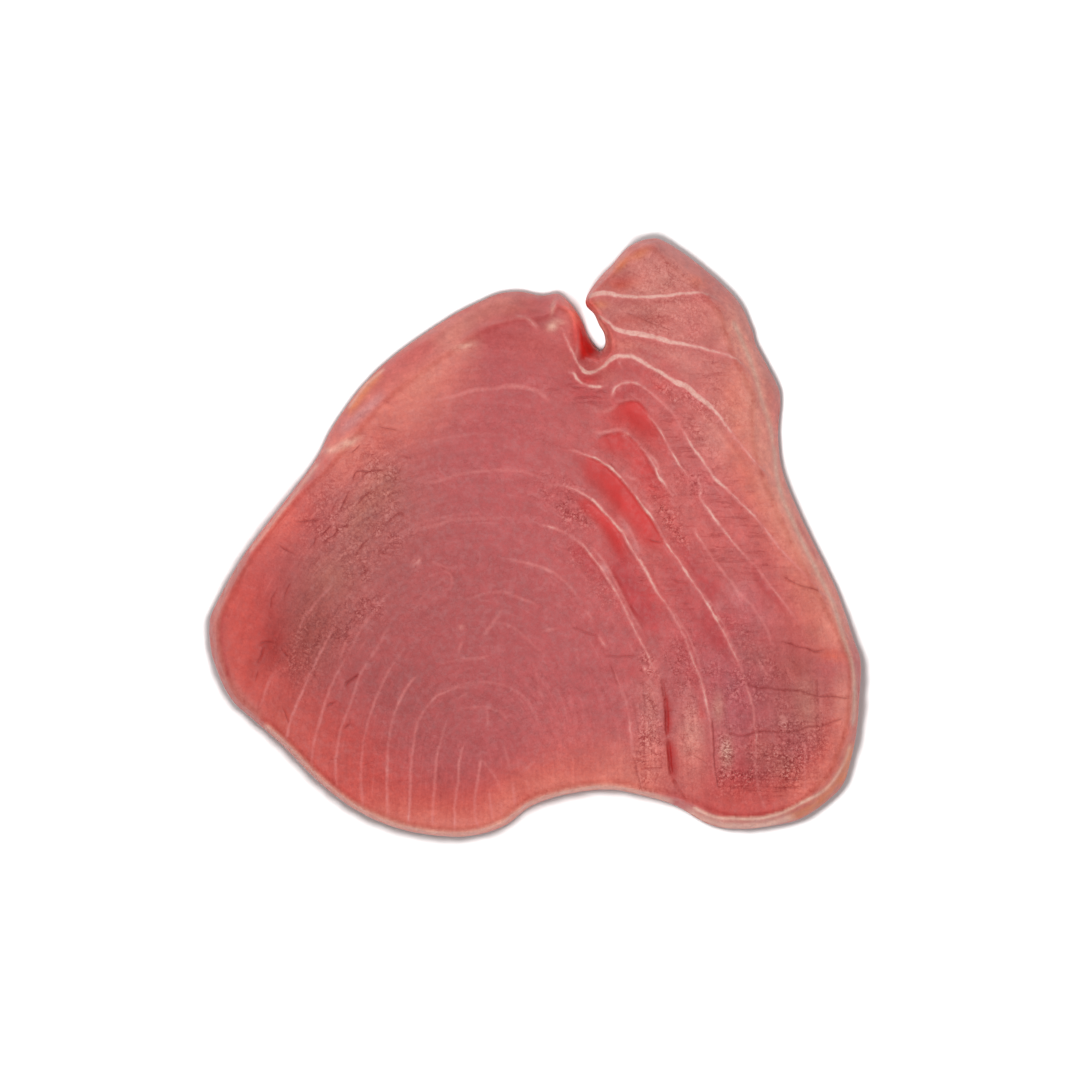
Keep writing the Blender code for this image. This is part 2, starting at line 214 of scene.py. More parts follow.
# Pale membranes between the layers: width, paleness, and places along each with a weight.
MEMBRANES = (
    # The right lobe.
    (0.7, 0.95, ((11.9, 54, 1), (12.3, 54.9, 1.3), (13.4, 55.7, 1.3), (15.5, 56, 1.3), (17.6, 55.8, 1.2),
        (19.5, 55.3, 1), (24, 55.1, 0.9), (29, 55.3, 0.85), (33, 55.8, 0.85), (36.5, 56.1, 0.9),
        (39, 55.9, 0.85), (41.2, 55, 0.8), (43, 53.6, 0.7), (44.4, 51.4, 0.5), (45.4, 49, 0.3))),
    (0.8, 0.95, ((11.8, 53.4, 0.8), (13, 52, 0.8), (14.4, 50.8, 0.9), (16.6, 49.2, 0.9), (18.2, 47.9, 1),
        (20.5, 47.1, 1.1), (25, 46.4, 1.25), (28.5, 45.5, 1.3), (31, 44.8, 0.9), (36, 43.9, 0.85),
        (40.5, 42.7, 0.75), (44.7, 41.5, 0.75), (47, 40.2, 0.7), (48.8, 38.3, 0.5), (50.2, 35.6, 0.45),
        (51.6, 31.5, 0.45), (53.2, 27.2, 0.45), (54.8, 23.6, 0.3))),
    # The layers that start round the notch and run down to the right.
    (0.7, 0.95, ((5.8, 48.3, 0.4), (6.7, 46.2, 0.45), (7.5, 44.2, 0.6), (8.8, 41.6, 0.6), (10, 39.3, 0.7),
        (11.3, 37.9, 1), (12.9, 37.7, 1), (14.8, 38.6, 0.9), (16.4, 40, 1.1), (18.3, 41.4, 1.2),
        (20, 41.5, 1.3), (21.8, 41.6, 1.3), (23.5, 40.8, 1.1), (25.6, 39.5, 1.1), (28.5, 37.9, 0.9),
        (30.6, 36.6, 1.1), (32.6, 35.4, 1.45), (34.6, 34.5, 1.55), (36.4, 32.9, 1.5), (38.4, 31.4, 1.5),
        (40.2, 29.8, 1.2), (41.8, 28.2, 0.8), (43.6, 25.9, 0.8), (46.2, 22.3, 0.6), (49.4, 18.4, 0.65),
        (52.2, 15.3, 0.6), (54.2, 13.3, 0.35), (56.2, 10.4, 0.2))),
    (1.8, 0.3, ((27, 36.6, 0.5), (30, 34.6, 0.9), (34, 32.8, 0.8), (37.6, 30, 0.9), (40.4, 27.4, 0.6))),
    (0.45, 0.55, ((9.9, 47.6, 0.7), (9.6, 45.2, 1), (9.4, 42.8, 0.9), (9.6, 40.8, 0.6))),
    (0.45, 0.7, ((18.6, 41, 0.8), (19.1, 39.8, 1), (19.8, 38.8, 0.7))),
    (0.5, 0.9, ((7.2, 37.9, 0.8), (8.6, 37.6, 1), (9.3, 36.5, 1), (10.4, 35.4, 0.7), (11.8, 34.8, 0.7),
        (13.2, 34.4, 1.1), (14.8, 34.5, 0.8), (16.6, 34.9, 0.4))),
    (0.6, 0.8, ((17.7, 32.2, 1.2), (17.8, 33.3, 1.2), (18.3, 34.3, 1), (19.6, 35.2, 1), (21.2, 35.55, 1),
        (23, 35.3, 0.9), (24.8, 34.3, 0.65), (27, 32.6, 0.55), (29.8, 29.9, 0.6), (31.4, 28.4, 0.5),
        (33.2, 25.4, 0.35), (34.4, 23.5, 0.7), (36.3, 20.3, 0.8), (38.3, 17.6, 0.9), (40, 14.9, 1),
        (41.2, 13.3, 1.2), (43.8, 11, 0.9), (47.6, 7.3, 0.7), (50.4, 4.5, 0.65), (53.4, 0.8, 0.7),
        (56.4, -3.1, 0.6), (60, -6.8, 0.5), (64, -11, 0.5), (67, -14.2, 0.4))),
    (0.5, 0.6, ((18.5, 33.2, 0.7), (19.2, 34.1, 0.9), (19.9, 34.7, 0.6))),
    (0.8, 0.42, ((12.6, 30.2, 0.6), (14, 29.1, 0.9), (15.6, 28.8, 1), (17.4, 29.4, 0.9),
        (18.8, 30.3, 0.6))),
    (0.6, 0.35, ((17.9, 31.6, 0.8), (18.6, 31, 0.9), (20, 31.3, 0.7), (22, 31.5, 0.7), (23.6, 30.6, 0.7))),
    (0.5, 0.75, ((25, 29, 0.4), (26.6, 26.9, 0.7), (28, 25.1, 0.9), (29.2, 23.4, 0.8), (30.2, 21.2, 0.6),
        (31.6, 18.7, 0.8), (32.8, 16.8, 0.9), (34.2, 14.8, 0.6), (35.4, 13, 0.3))),
    (0.4, 0.4, ((29.6, 22.6, 0.6), (30.2, 20.4, 0.8), (30.9, 18.9, 0.6))),
    (0.6, 0.75, ((36.4, 14.8, 0.3), (37.6, 12.2, 0.8), (38, 10.4, 0.9), (37.6, 9.4, 0.7), (38.6, 7.6, 0.8),
        (40, 5.7, 1), (41.6, 3.5, 0.9), (44, 0.4, 0.75), (46.2, -2.3, 0.6), (48, -4.3, 0.5),
        (50.4, -6.6, 0.35), (52, -8.9, 0.6), (53.5, -11, 0.6), (55.4, -13.2, 0.65), (57.2, -15.4, 0.4),
        (59, -17.7, 0.4), (60.6, -20.4, 0.2))),
    (0.6, 0.42, ((12.4, 24.5, 0.6), (14.6, 23.9, 1), (16.8, 24.2, 1), (18.8, 24.6, 0.9), (21, 24.9, 0.6))),
    (0.5, 0.8, ((23.2, 20.5, 0.6), (24.6, 20, 0.7), (26, 18.3, 0.7), (27.3, 16.2, 0.8), (28.2, 14, 1),
        (29.4, 12.3, 0.9), (30.8, 10.3, 0.5), (32, 8.6, 0.2))),
    (0.5, 0.65, ((25.4, 19.8, 0.4), (27.2, 17.8, 0.8), (28.3, 15.8, 0.9), (28.6, 14.2, 1))),
    (0.45, 0.4, ((30.4, 12.3, 0.8), (31.4, 11, 0.9), (32.8, 9, 0.4))),
    (0.55, 0.5, ((36.2, 2.2, 0.7), (37.4, -0.2, 1), (39.4, -3.1, 0.8), (41.6, -6.3, 0.7), (44.4, -9.7, 0.8),
        (46.8, -13, 0.8), (49.2, -15.4, 0.7), (51.2, -18.2, 0.5), (53.2, -21.4, 0.6), (53.8, -23.6, 0.7),
        (55, -25.6, 0.3))),
    (0.5, 0.4, ((50.6, -27.8, 0.6), (52, -30, 0.9), (53.6, -32.6, 0.5))),
    (0.5, 0.85, ((6.8, 19.9, 0.2), (9, 19.7, 0.4), (11.4, 18.8, 0.5), (13.6, 18, 0.8), (15.6, 16.8, 0.8),
        (17, 16, 1.1), (18.4, 14.7, 0.9), (20.8, 12.1, 0.7), (23.2, 9, 0.7), (24.4, 7.1, 0.9),
        (26, 5.2, 0.9), (27.6, 2.7, 0.5), (29.2, -0.3, 0.4), (30.8, -2.7, 0.8), (33, -5.8, 0.6),
        (34.5, -8.2, 0.9), (36.4, -10.9, 0.7), (38.6, -14.1, 0.7), (40.6, -17.5, 0.9), (42.8, -21.4, 0.6),
        (44.4, -24.6, 0.6), (46.2, -28.2, 0.5), (47.4, -31, 0.25), (48.4, -34.5, 0.3), (49.4, -37.5, 0.6),
        (50.1, -40.5, 0.3), (50.2, -43.6, 0.5), (50.6, -45.4, 0.7), (50.6, -49, 0.4), (50.6, -54, 0.3),
        (51.6, -59.5, 0.2), (53, -63, 0.4))),
    (0.4, 0.5, ((38.2, -12.6, 0.6), (40, -15.1, 0.8), (41.8, -18, 0.8), (43.6, -21.4, 0.5),
        (45.4, -25.2, 0.6), (46.4, -27.2, 0.3))),
    (0.45, 0.42, ((24, 8.6, 0.5), (26.4, 6.7, 0.8), (27.6, 4.8, 0.5))),
    (0.5, 0.45, ((20.4, 14.7, 0.7), (21.8, 13.4, 1), (23, 13.4, 0.7), (24, 12.2, 0.8))),
    (0.6, 0.75, ((2, 11.9, 0.2), (5.6, 11.8, 0.35), (7.6, 11.3, 0.7), (9.8, 10.4, 0.7), (12, 9.1, 0.7),
        (13.8, 7.8, 0.8), (15.8, 5.5, 0.8), (17.4, 3.8, 0.8), (19, 2, 0.9), (20.3, 0.6, 0.95),
        (21.2, -1.5, 0.9), (23, -4.3, 0.9), (24.6, -6.8, 1.1), (26.3, -9.8, 0.9), (28.2, -13.2, 0.8),
        (30.4, -16.2, 0.6), (32.4, -19.6, 0.7), (34.6, -24, 0.6), (35.6, -27.2, 0.7), (37.2, -31.2, 0.8),
        (38.4, -34.9, 0.7), (39.1, -38, 0.8), (39.9, -41.2, 0.5), (40.3, -45, 0.5), (40.5, -49, 0.4),
        (40.9, -53.5, 0.3), (41.6, -57.6, 0.4))),
    (0.4, 0.45, ((18.6, 5, 0.4), (20.6, 3.2, 0.8), (22, 0.9, 0.9), (23.2, -1.8, 0.9), (23.8, -3.8, 0.5))),
    (0.4, 0.45, ((30.2, -15.6, 0.6), (32.8, -19, 0.7), (34.8, -22.4, 0.8), (36.4, -26.2, 0.7),
        (38, -30.4, 0.4))),
    (0.5, 0.65, ((0.6, 2.7, 0.3), (3.8, 2.1, 0.9), (6.2, 1, 0.6), (8.8, -0.4, 0.8), (11, -2.3, 0.9),
        (13.2, -5, 0.8), (15.2, -7.5, 0.9), (16.6, -9.9, 0.9), (18.4, -12.8, 0.9), (20.2, -16.2, 0.9),
        (21.7, -19.5, 0.8), (23.4, -22.8, 0.9), (24.8, -25.4, 0.6), (26.2, -28.4, 0.9), (27.7, -32, 1))),
    (0.4, 0.42, ((12.6, -2.2, 0.4), (14.8, -4.6, 0.7), (16.6, -7.4, 0.8), (18.4, -10.7, 0.9),
        (20.2, -14.4, 0.8), (22.4, -18.4, 0.6), (24.4, -21.8, 0.4))),
    (0.4, 0.6, ((23.9, -28.8, 0.7), (24.9, -30, 1), (25.4, -32.2, 0.9))),
    (0.55, 0.4, ((-7, -5.1, 0.5), (-3.4, -5.8, 0.6), (0.4, -6.8, 0.9), (3.2, -7.9, 1), (5.6, -9.4, 0.8),
        (7.6, -11.3, 0.7), (9.4, -13.6, 0.5))),
    (0.5, 0.35, ((10.8, -16.2, 0.6), (12.4, -18.2, 0.8), (13.4, -20.2, 0.4))),
    (0.5, 0.6, ((14.2, -22.4, 0.6), (15.2, -24.1, 1), (16.4, -25.8, 0.5))),
    (0.45, 0.3, ((17.6, -30, 0.6), (18.8, -33.2, 0.9), (19.8, -35.4, 0.6), (20.6, -38, 1),
        (21.2, -40.2, 0.5))),
    (0.5, 0.5, ((21.2, -40.8, 0.6), (21.6, -43.4, 1), (21.9, -46.6, 0.8), (22.2, -50.4, 0.4))),
    (0.5, 0.45, ((23.2, -52.4, 0.8), (23.6, -54.4, 0.6), (24.5, -58, 0.8))),
    (0.5, 0.4, ((61.2, -46.2, 0.7), (61.9, -49.6, 0.9), (61.9, -53.6, 0.6), (62, -58.6, 0.5))),
    # Faint arches in the middle and at the upper left.
    (0.7, 0.3, ((-27, 12.4, 0.4), (-23.4, 12.6, 0.8), (-19.6, 13.7, 0.7), (-17.8, 14.4, 1), (-13, 15, 0.7),
        (-7, 15.3, 0.8), (-2, 14.8, 0.6), (1.8, 13.2, 0.6))),
    (0.8, 0.28, ((-30, 0.1, 0.5), (-26.4, 1.8, 0.8), (-22.6, 2.7, 0.9), (-19.6, 3.8, 0.7), (-14, 4.1, 0.7),
        (-7, 4.4, 0.6))),
    (0.8, 0.4, ((-24, 31, 0.4), (-20, 32.1, 0.8), (-15, 33.5, 0.8), (-9, 34.2, 0.7), (-5.5, 34.6, 1.3),
        (-2, 34.2, 0.9), (0.6, 33.2, 1), (2.4, 31.9, 0.8), (3.2, 30.9, 0.5))),
    (0.8, 0.5, ((-18, 44.8, 0.6), (-16, 46.6, 0.8), (-13, 48.4, 0.9), (-9.4, 49.3, 0.8), (-6, 49.9, 0.6),
        (-3.6, 50.6, 1.1), (-2, 50.1, 1.1), (-0.4, 48.6, 1.2), (0.7, 47.4, 0.6))),
    (0.9, 0.3, ((-25, 41.2, 0.4), (-21, 43.2, 0.8), (-18, 44.6, 0.6))),
    (0.5, 0.28, ((-5.6, -13.4, 0.7), (-2.6, -14.6, 0.9), (0.4, -15.6, 0.5))),
    (0.5, 0.35, ((1.2, -21.9, 0.8), (3, -21.5, 1), (5.2, -21.2, 0.9))),
    (0.5, 0.35, ((-16.6, -23.4, 0.7), (-17.4, -25.2, 1), (-18, -26.8, 0.8))),
    (0.6, 0.3, ((-7.6, -16.4, 0.6), (-9.2, -19, 0.9), (-11.2, -21.6, 1), (-12.6, -23.4, 0.6))),
    (0.5, 0.28, ((-16.4, -28.4, 0.6), (-13.5, -28, 0.9), (-10.4, -27.5, 0.6))),
    (0.6, 0.28, ((-24.2, -5.7, 0.7), (-21.2, -7.1, 0.7), (-19.6, -8.8, 0.7), (-19.2, -10.6, 1),
        (-19.6, -11.8, 1))),
    (0.5, 0.3, ((0.3, -35, 0.6), (1, -36.4, 0.9), (1.8, -37.8, 0.5))),
    (0.4, 0.4, ((-11.2, -40, 0.9), (-11.15, -42, 0.9), (-11.2, -44, 0.7))),
    # The feet of the arches, down to the lower left edge.
    (0.5, 0.35, ((-46.8, -10.8, 0.5), (-48.6, -13, 0.8), (-51.4, -16.1, 0.9), (-53.6, -19.2, 0.7),
        (-55, -22.4, 0.5))),
    (0.5, 0.32, ((-59.8, -30.6, 0.6), (-61.4, -33.2, 1), (-62.6, -36.6, 0.7), (-63.6, -39.4, 0.9))),
    (0.42, 0.44, ((-46.8, -21.6, 0.4), (-48.2, -24.2, 0.7), (-50.2, -27.8, 0.9), (-52.2, -32, 0.8),
        (-54.2, -36.8, 1), (-55.6, -39.9, 0.9), (-56.8, -43.2, 1), (-57.4, -46.2, 1.1), (-57.9, -47.4, 1))),
    (0.42, 0.44, ((-43.6, -27.8, 0.4), (-45.2, -30.6, 0.8), (-47.2, -34.6, 0.8), (-48.7, -38.7, 0.9),
        (-49.8, -42.6, 1), (-51, -47, 0.8), (-51.5, -50.4, 0.6), (-51.7, -53.6, 0.7))),
    (0.42, 0.38, ((-38.6, -28.8, 0.7), (-40.4, -31.6, 0.7), (-42.1, -36.8, 0.7), (-43.5, -40.6, 0.8),
        (-45, -45, 0.8), (-45.9, -49.4, 1), (-46.2, -53.4, 0.9), (-45.7, -58, 0.8))),
    (0.42, 0.4, ((-32.4, -28.6, 0.6), (-34.6, -32.2, 0.9), (-36.8, -37.2, 0.8), (-38.6, -42.4, 0.8),
        (-39.7, -47.6, 0.7), (-40.2, -52.6, 0.8), (-40.2, -57.8, 1), (-39.7, -62.6, 0.7))),
    (0.42, 0.44, ((-27.4, -32, 0.7), (-29.4, -34.3, 0.9), (-31.6, -38.2, 1), (-33.2, -43, 0.7),
        (-34, -49, 0.8), (-34.3, -55, 0.9), (-34.2, -60.6, 1), (-34, -65, 0.8))),
    (0.42, 0.44, ((-15, -34.6, 0.3), (-18.6, -34.9, 0.6), (-21.2, -36, 0.7), (-23.2, -37, 0.8),
        (-25.6, -39.8, 0.7), (-27.4, -43.2, 0.9), (-28.2, -48.4, 0.8), (-28.8, -54, 0.9), (-29, -60, 0.9),
        (-29.4, -66.4, 1.2))),
    (0.4, 0.4, ((-20.6, -42.6, 0.4), (-21.8, -46.8, 0.6), (-22.8, -50.6, 1), (-23.2, -55.4, 0.7),
        (-23.6, -60.6, 0.9), (-23.8, -66.6, 0.9))),
    (0.4, 0.44, ((-16.6, -47.6, 0.5), (-17.6, -52, 0.9), (-18, -57, 0.8), (-18.7, -62, 0.9),
        (-18.6, -68, 1))),
    (0.4, 0.44, ((-12.7, -51, 0.8), (-13.3, -55.4, 0.9), (-14, -60.4, 0.9), (-14, -64.4, 0.8),
        (-13, -67.8, 0.9))),
    (0.4, 0.32, ((-12.6, -51.2, 0.7), (-9.9, -54.6, 0.9), (-7.6, -58.8, 0.7))),
    (0.4, 0.44, ((-10.8, -58.4, 0.6), (-10.4, -62.4, 0.9), (-9.9, -65.6, 1))),
    (0.5, 0.4, ((-8.2, -60.8, 0.5), (-7.8, -64.6, 0.9))),
    (0.45, 0.42, ((-5.5, -56.2, 0.7), (-5.1, -59, 0.9), (-4.8, -62.6, 0.7))),
    (0.45, 0.3, ((-2.1, -55.6, 0.6), (-1.4, -59.4, 0.8))),
    (0.45, 0.25, ((-7.4, -47.4, 0.5), (-6.4, -51.4, 0.8), (-5.9, -54.2, 0.5))),
    (0.45, 0.3, ((-0.2, -51.4, 0.7), (-1.9, -53.2, 0.8), (-3.6, -54.3, 0.6))),
    # Their upper parts, fainter.
    (0.5, 0.24, ((-33.5, -13, 0.5), (-34.8, -14, 0.8), (-36.3, -16, 0.9), (-37.5, -17.6, 0.8),
        (-39, -19.4, 0.9), (-40.5, -21.5, 0.8), (-41.8, -23.8, 0.9), (-42.6, -26, 0.8),
        (-43.4, -27.8, 0.6))),
    (0.5, 0.24, ((-33.3, -20, 0.4), (-34.6, -22, 0.9), (-36, -24.5, 0.8), (-37.2, -26.6, 0.9),
        (-38.4, -28.6, 0.7))),
    (0.5, 0.22, ((-30.2, -25.4, 0.4), (-31.2, -27, 0.8), (-32.4, -28.6, 0.7))),
    (0.5, 0.26, ((-46.2, -20.2, 0.6), (-47.4, -22.4, 0.8), (-48.2, -24.3, 0.9))),
    (0.5, 0.22, ((-46.6, -15, 0.6), (-46.9, -17.2, 0.9), (-46.8, -19.5, 0.6))),
    (0.5, 0.2, ((-39, -10, 0.6), (-39.4, -11.6, 0.9), (-39.3, -13, 0.5))),
    # Pale threads in the middle.
    (0.5, 0.2, ((-16, -14.6, 0.5), (-12, -13.2, 0.8), (-8, -12.8, 0.8), (-5, -13.2, 0.9))),
    (0.5, 0.18, ((-9.6, -19.4, 0.8), (-6, -20.6, 0.7), (-3, -22.6, 0.9), (0, -25.6, 0.8),
        (2.6, -27.6, 0.6))),
    (0.5, 0.2, ((-1, -28, 0.5), (0, -31, 0.8), (0.6, -34, 0.8), (1.4, -37, 0.7))),
    (0.5, 0.18, ((-23.4, -36.4, 0.6), (-19, -34.6, 0.8), (-13, -33.6, 0.9), (-8, -34, 0.8), (-4, -36, 0.8),
        (-1, -39.4, 0.8), (0.8, -43.6, 0.6))),
    (0.45, 0.18, ((-18, -39.8, 0.5), (-14.8, -39.2, 0.9), (-11.2, -39.4, 0.9), (-8, -40.6, 0.8),
        (-5.4, -43.4, 0.6))),
    (0.5, 0.16, ((-22, -29.4, 0.6), (-17, -28.2, 0.8), (-10.8, -27.4, 0.6))),
    (0.45, 0.16, ((9.2, -24.6, 0.5), (9.6, -27.6, 0.9), (9.8, -30.6, 0.5))),
    (0.45, 0.2, ((17.6, -30.2, 0.8), (18.4, -32.6, 0.9), (19.4, -35.4, 0.9), (20.4, -38.2, 0.9))),
    (0.5, 0.16, ((-34, -1, 0.5), (-28, 2.6, 0.8), (-20, 4.8, 0.8), (-12, 5.4, 0.6))),
    (0.5, 0.14, ((-30, 19.6, 0.5), (-22, 22.4, 0.8), (-14, 23.6, 0.8), (-6, 23.4, 0.6))),
    (0.5, 0.14, ((-28, -17, 0.5), (-25, -12.4, 0.8), (-20.6, -9.4, 0.8))),
)
CLEARLY_PALE = 0.45

# Pale or coloured bands on the rim: name, half width, strength, and places along each.
RIM_BANDS = (
    # The rosy band here and the salmon band two entries down, round the notch, are partly the flesh's own
    # colour and partly painted light on the notch's walls, which lie in shade.
    ("rosy", 0.9, 0.8, ((16.4, 42.8), (16.9, 45), (16.2, 47.6), (15, 49.6), (13.6, 51.6), (12.2, 53.2))),
    ("cream", 0.3, 0.7, ((15.6, 42.4), (16.3, 44.4), (16, 46.8), (14.9, 48.8), (13.7, 51))),
    ("salmon", 1, 0.8, ((6.6, 54.8), (8.4, 52.2), (9.8, 49.8), (10.4, 48.2))),
    ("putty", 0.55, 0.75, ((45, 50), (47.4, 45), (50.2, 38), (52, 31), (53.8, 25.5), (54.8, 20), (55.4, 14),
        (57, 8), (59.2, 3.2), (61.4, -1.6), (63.6, -5.8), (65.4, -9.4), (67.6, -13.8), (69, -17.4),
        (70.2, -21.6), (71.4, -25.4), (72.7, -29.4), (73.2, -34), (73.2, -39), (72.9, -44))),
    ("wine", 0.5, 0.5, ((59.6, 4.6), (61.4, 0.8), (63.2, -2.4), (64.8, -5.6))),
    ("cream", 0.38, 1, ((72.4, -47.6), (71.4, -51), (69.6, -54.4), (67.6, -57.2), (65.2, -59.2),
        (61.8, -60.9), (58.6, -62.6), (55.6, -63.9), (51, -64.9), (46, -64.9), (41, -64.5), (36, -62.2))),
    ("apricot", 1.1, 0.85, ((73.4, -47), (72.2, -51), (70.4, -55.6), (67, -59.6), (62.4, -63),
        (57, -65.2))),
    ("cream", 1.1, 0.75, ((60, -64.2), (54, -66), (47, -66.7), (40, -65.8), (34, -62.8))),
    ("lilac", 1.2, 0.75, ((-45.6, 23.6), (-42.6, 26.2), (-39.8, 28.6), (-37.2, 30.8), (-34.4, 33.8))),
    ("apricot", 1, 0.75, ((-43.6, 27.8), (-41, 31.4), (-38.6, 34.4), (-35.4, 38))),
    ("brick", 1.1, 0.45, ((-38.6, 32.2), (-36, 35), (-32.6, 37.6))),
    ("cream", 0.35, 0.6, ((-43.2, 29.4), (-40, 34), (-37, 36.8), (-34.6, 38.8))),
    ("rosy", 0.9, 0.35, ((-28, 44.2), (-20, 49.2), (-12, 53.2), (-6, 54.9), (0, 54.6))),
    ("grey_pink", 1.5, 0.7, ((-66, -3.2), (-69.2, -8.4), (-71.6, -12.8), (-73.4, -18), (-73.6, -23),
        (-72.6, -29), (-69.8, -35), (-65.4, -40), (-62, -43.2))),
    ("wine", 0.4, 0.5, ((-71.6, -17), (-72.3, -22), (-71.6, -27), (-70.6, -33))),
    ("cream", 0.7, 0.55, ((-62.8, -43), (-57.6, -47.6), (-49, -56.2), (-40, -62.8), (-29, -67),
        (-17, -68.3), (-8, -65.8), (-1, -61.2), (8, -58.5), (16.6, -57.6), (24, -58.9), (31.8, -61.2))),
    ("cream", 0.5, 0.4, ((-66, -3.6), (-56.2, 8.8), (-50, 17.2))),
    ("grey_pink", 0.9, 0.6, ((56, 30), (54.9, 33.8), (51, 41.4), (48.8, 47), (44.8, 54.4))),
)

# Patches with a shape of their own: name, x, y, both radii, the turn where there is one, strength.
PATCHES = (
    ("cream", 3.9, 48.4, 1.3, 1, 20, 0.85), ("cream", 5.8, 49.4, 1.4, 0.5, -15, 0.6),
    ("putty", 3.9, 52.6, 0.5, 1.9, -8, 0.5), ("cream", -43.4, 21.4, 2.6, 0.95, 24, 1),
    ("cream", -46.6, 20, 2, 0.7, 12, 0.75), ("rim_red", -48.3, 17.3, 0.6, 0.6, 0.8),
    ("cream", -16.6, 43.9, 2.4, 0.7, 10, 0.6), ("rim_red", 68.8, -27.3, 3.2, 1.3, -12, 0.8),
    ("orange", 68.5, -27.4, 3, 1, -12, 0.4), ("rim_red", 20, 58.6, 3.6, 1.8, 10, 0.6),
    ("orange", 37.4, 58.6, 2.2, 1.2, -30, 0.5), ("lilac", 46.5, -13, 3, 2.4, -40, 0.4),
    ("lilac", 42.2, -16, 1.6, 1.4, -50, 0.4), ("lilac", 52, -19, 2.4, 2, -50, 0.3),
    ("lilac", 16, -7.4, 0.8, 1.6, 30, 0.7), ("lilac", 20.6, 2.4, 1, 2.2, 32, 0.6),
    ("lilac", 23, -2.4, 0.7, 1.8, 25, 0.5), ("apricot", 24, 65, 2.2, 1, 30, 0.6),
    ("apricot", 19.6, 62.6, 2.4, 0.9, 45, 0.7), ("red", 19.4, 58, 2.2, 1.1, 5, 0.7),
    # The salmon and coral patches on the next line, beside the notch, are partly the flesh's own colour and
    # partly painted light on the shaded slope into the notch.
    ("salmon", 8.6, 51, 1.8, 3.4, 30, 0.8), ("coral", 8.4, 46, 1.3, 4, 0.7),
    ("pale_salmon", 14.2, 54, 2, 1.6, 0.6), ("brick", -34, 31, 0.6, 0.8, 0.7),
    ("putty", 43.8, -49.6, 1.5, 3.6, 0.55), ("frost_and_glints", 20.7, 23.4, 0.7, 0.7, 0.9),
    ("frost_and_glints", 28.3, 13.7, 0.6, 0.6, 0.8), ("frost_and_glints", -17.2, -20.9, 0.6, 0.5, 0.5),
    ("frost_and_glints", -27, -5.8, 0.35, 0.8, -20, 0.6), ("frost_and_glints", -28.1, -6, 0.3, 0.9, -5, 0.4),
    ("putty", 41.8, -39.6, 1.2, 3, 0.3), ("clay", 35.6, -46, 2.4, 7, 0.3),
    ("grey_pink", 62.6, -39, 2.4, 4.4, 5, 0.4), ("grey_pink", 62.4, -34, 2.6, 1.6, 0.4),
    ("frost_and_glints", 57, -42.6, 0.9, 1.8, 20, 0.5), ("wine", 30.4, 38.6, 3.4, 1.4, -40, 0.45),
    ("wine", 10.5, 33, 5, 2.2, -20, 0.4), ("brick", 7, 40.5, 1.6, 2.8, -20, 0.5),
    ("hollow", 11.5, 36, 2.4, 1, 0.5), ("wine", 21, 38.4, 5, 1.6, -8, 0.5),
    ("mallow", 38, 13, 4, 8, 30, 0.3), ("hollow", 28, 35, 3.4, 1.6, -38, 0.45),
    ("wine", 24.5, 42.6, 1.8, 0.7, -10, 0.5), ("wine", 27.4, 41.4, 1.4, 0.6, -20, 0.5),
    ("hollow", 26.4, -13, 2, 3.4, 25, 0.55), ("wine", 26.6, -18.4, 1.8, 4.4, 22, 0.5),
    ("wine", 39.6, -11.4, 2.4, 2.4, -40, 0.5), ("wine", 34.4, -24, 1.6, 3.4, 25, 0.35),
    ("wine", 36.6, -33, 1.6, 4, 15, 0.4), ("hollow", 38, -40.4, 0.7, 2.2, 8, 0.5),
    ("wine", 22, -31, 1.4, 2.4, 0.4), ("deep_red", -61, -25.5, 3.2, 6.5, -8, 0.75),
    ("deep_red", -64.6, -30, 1.6, 3.4, -20, 0.4), ("orange", -58.5, -42.5, 1.6, 3, 30, 0.4),
    ("salmon", -44.6, 19.6, 3, 2.6, 0.4), ("red", -35, 22.4, 4, 2.4, 0.3),
    ("clay", 42, -39.4, 1.4, 3.6, 0.4), ("clay", 62.4, -39.4, 2.6, 5.4, 8, 0.5),
    ("olive", 60, -30, 3.6, 3, 0.5), ("mallow", 49, -15.4, 4.6, 3.2, -52, 0.4),
    ("apricot", 20, 57.8, 3.6, 1, 5, 0.15), ("apricot", 14.6, 53.4, 1.8, 0.9, 0.6),
    ("flush", -59, 3, 4, 10, -38, 0.55), ("red", -44, -48, 18, 8, -38, 0.75),
    # The coral patch at the end of the next line is likewise partly painted light beside the notch.
    ("hollow", 20, 26.5, 4, 3, 0.35), ("wine", 22, 34, 5, 3, -10, 0.4), ("coral", 7.4, 49, 2, 4.6, 20, 0.6),
    ("brick", -56, -45, 19, 8, -42, 0.5), ("pale_salmon", 71, -36, 2.6, 8, 0.5),
    ("rosy", 26, -38, 5, 8, 0.25), ("rim_red", -2.4, -59.6, 3, 2.6, 0.4), ("rim_red", 10, -54, 5, 2.6, 0.3),
)
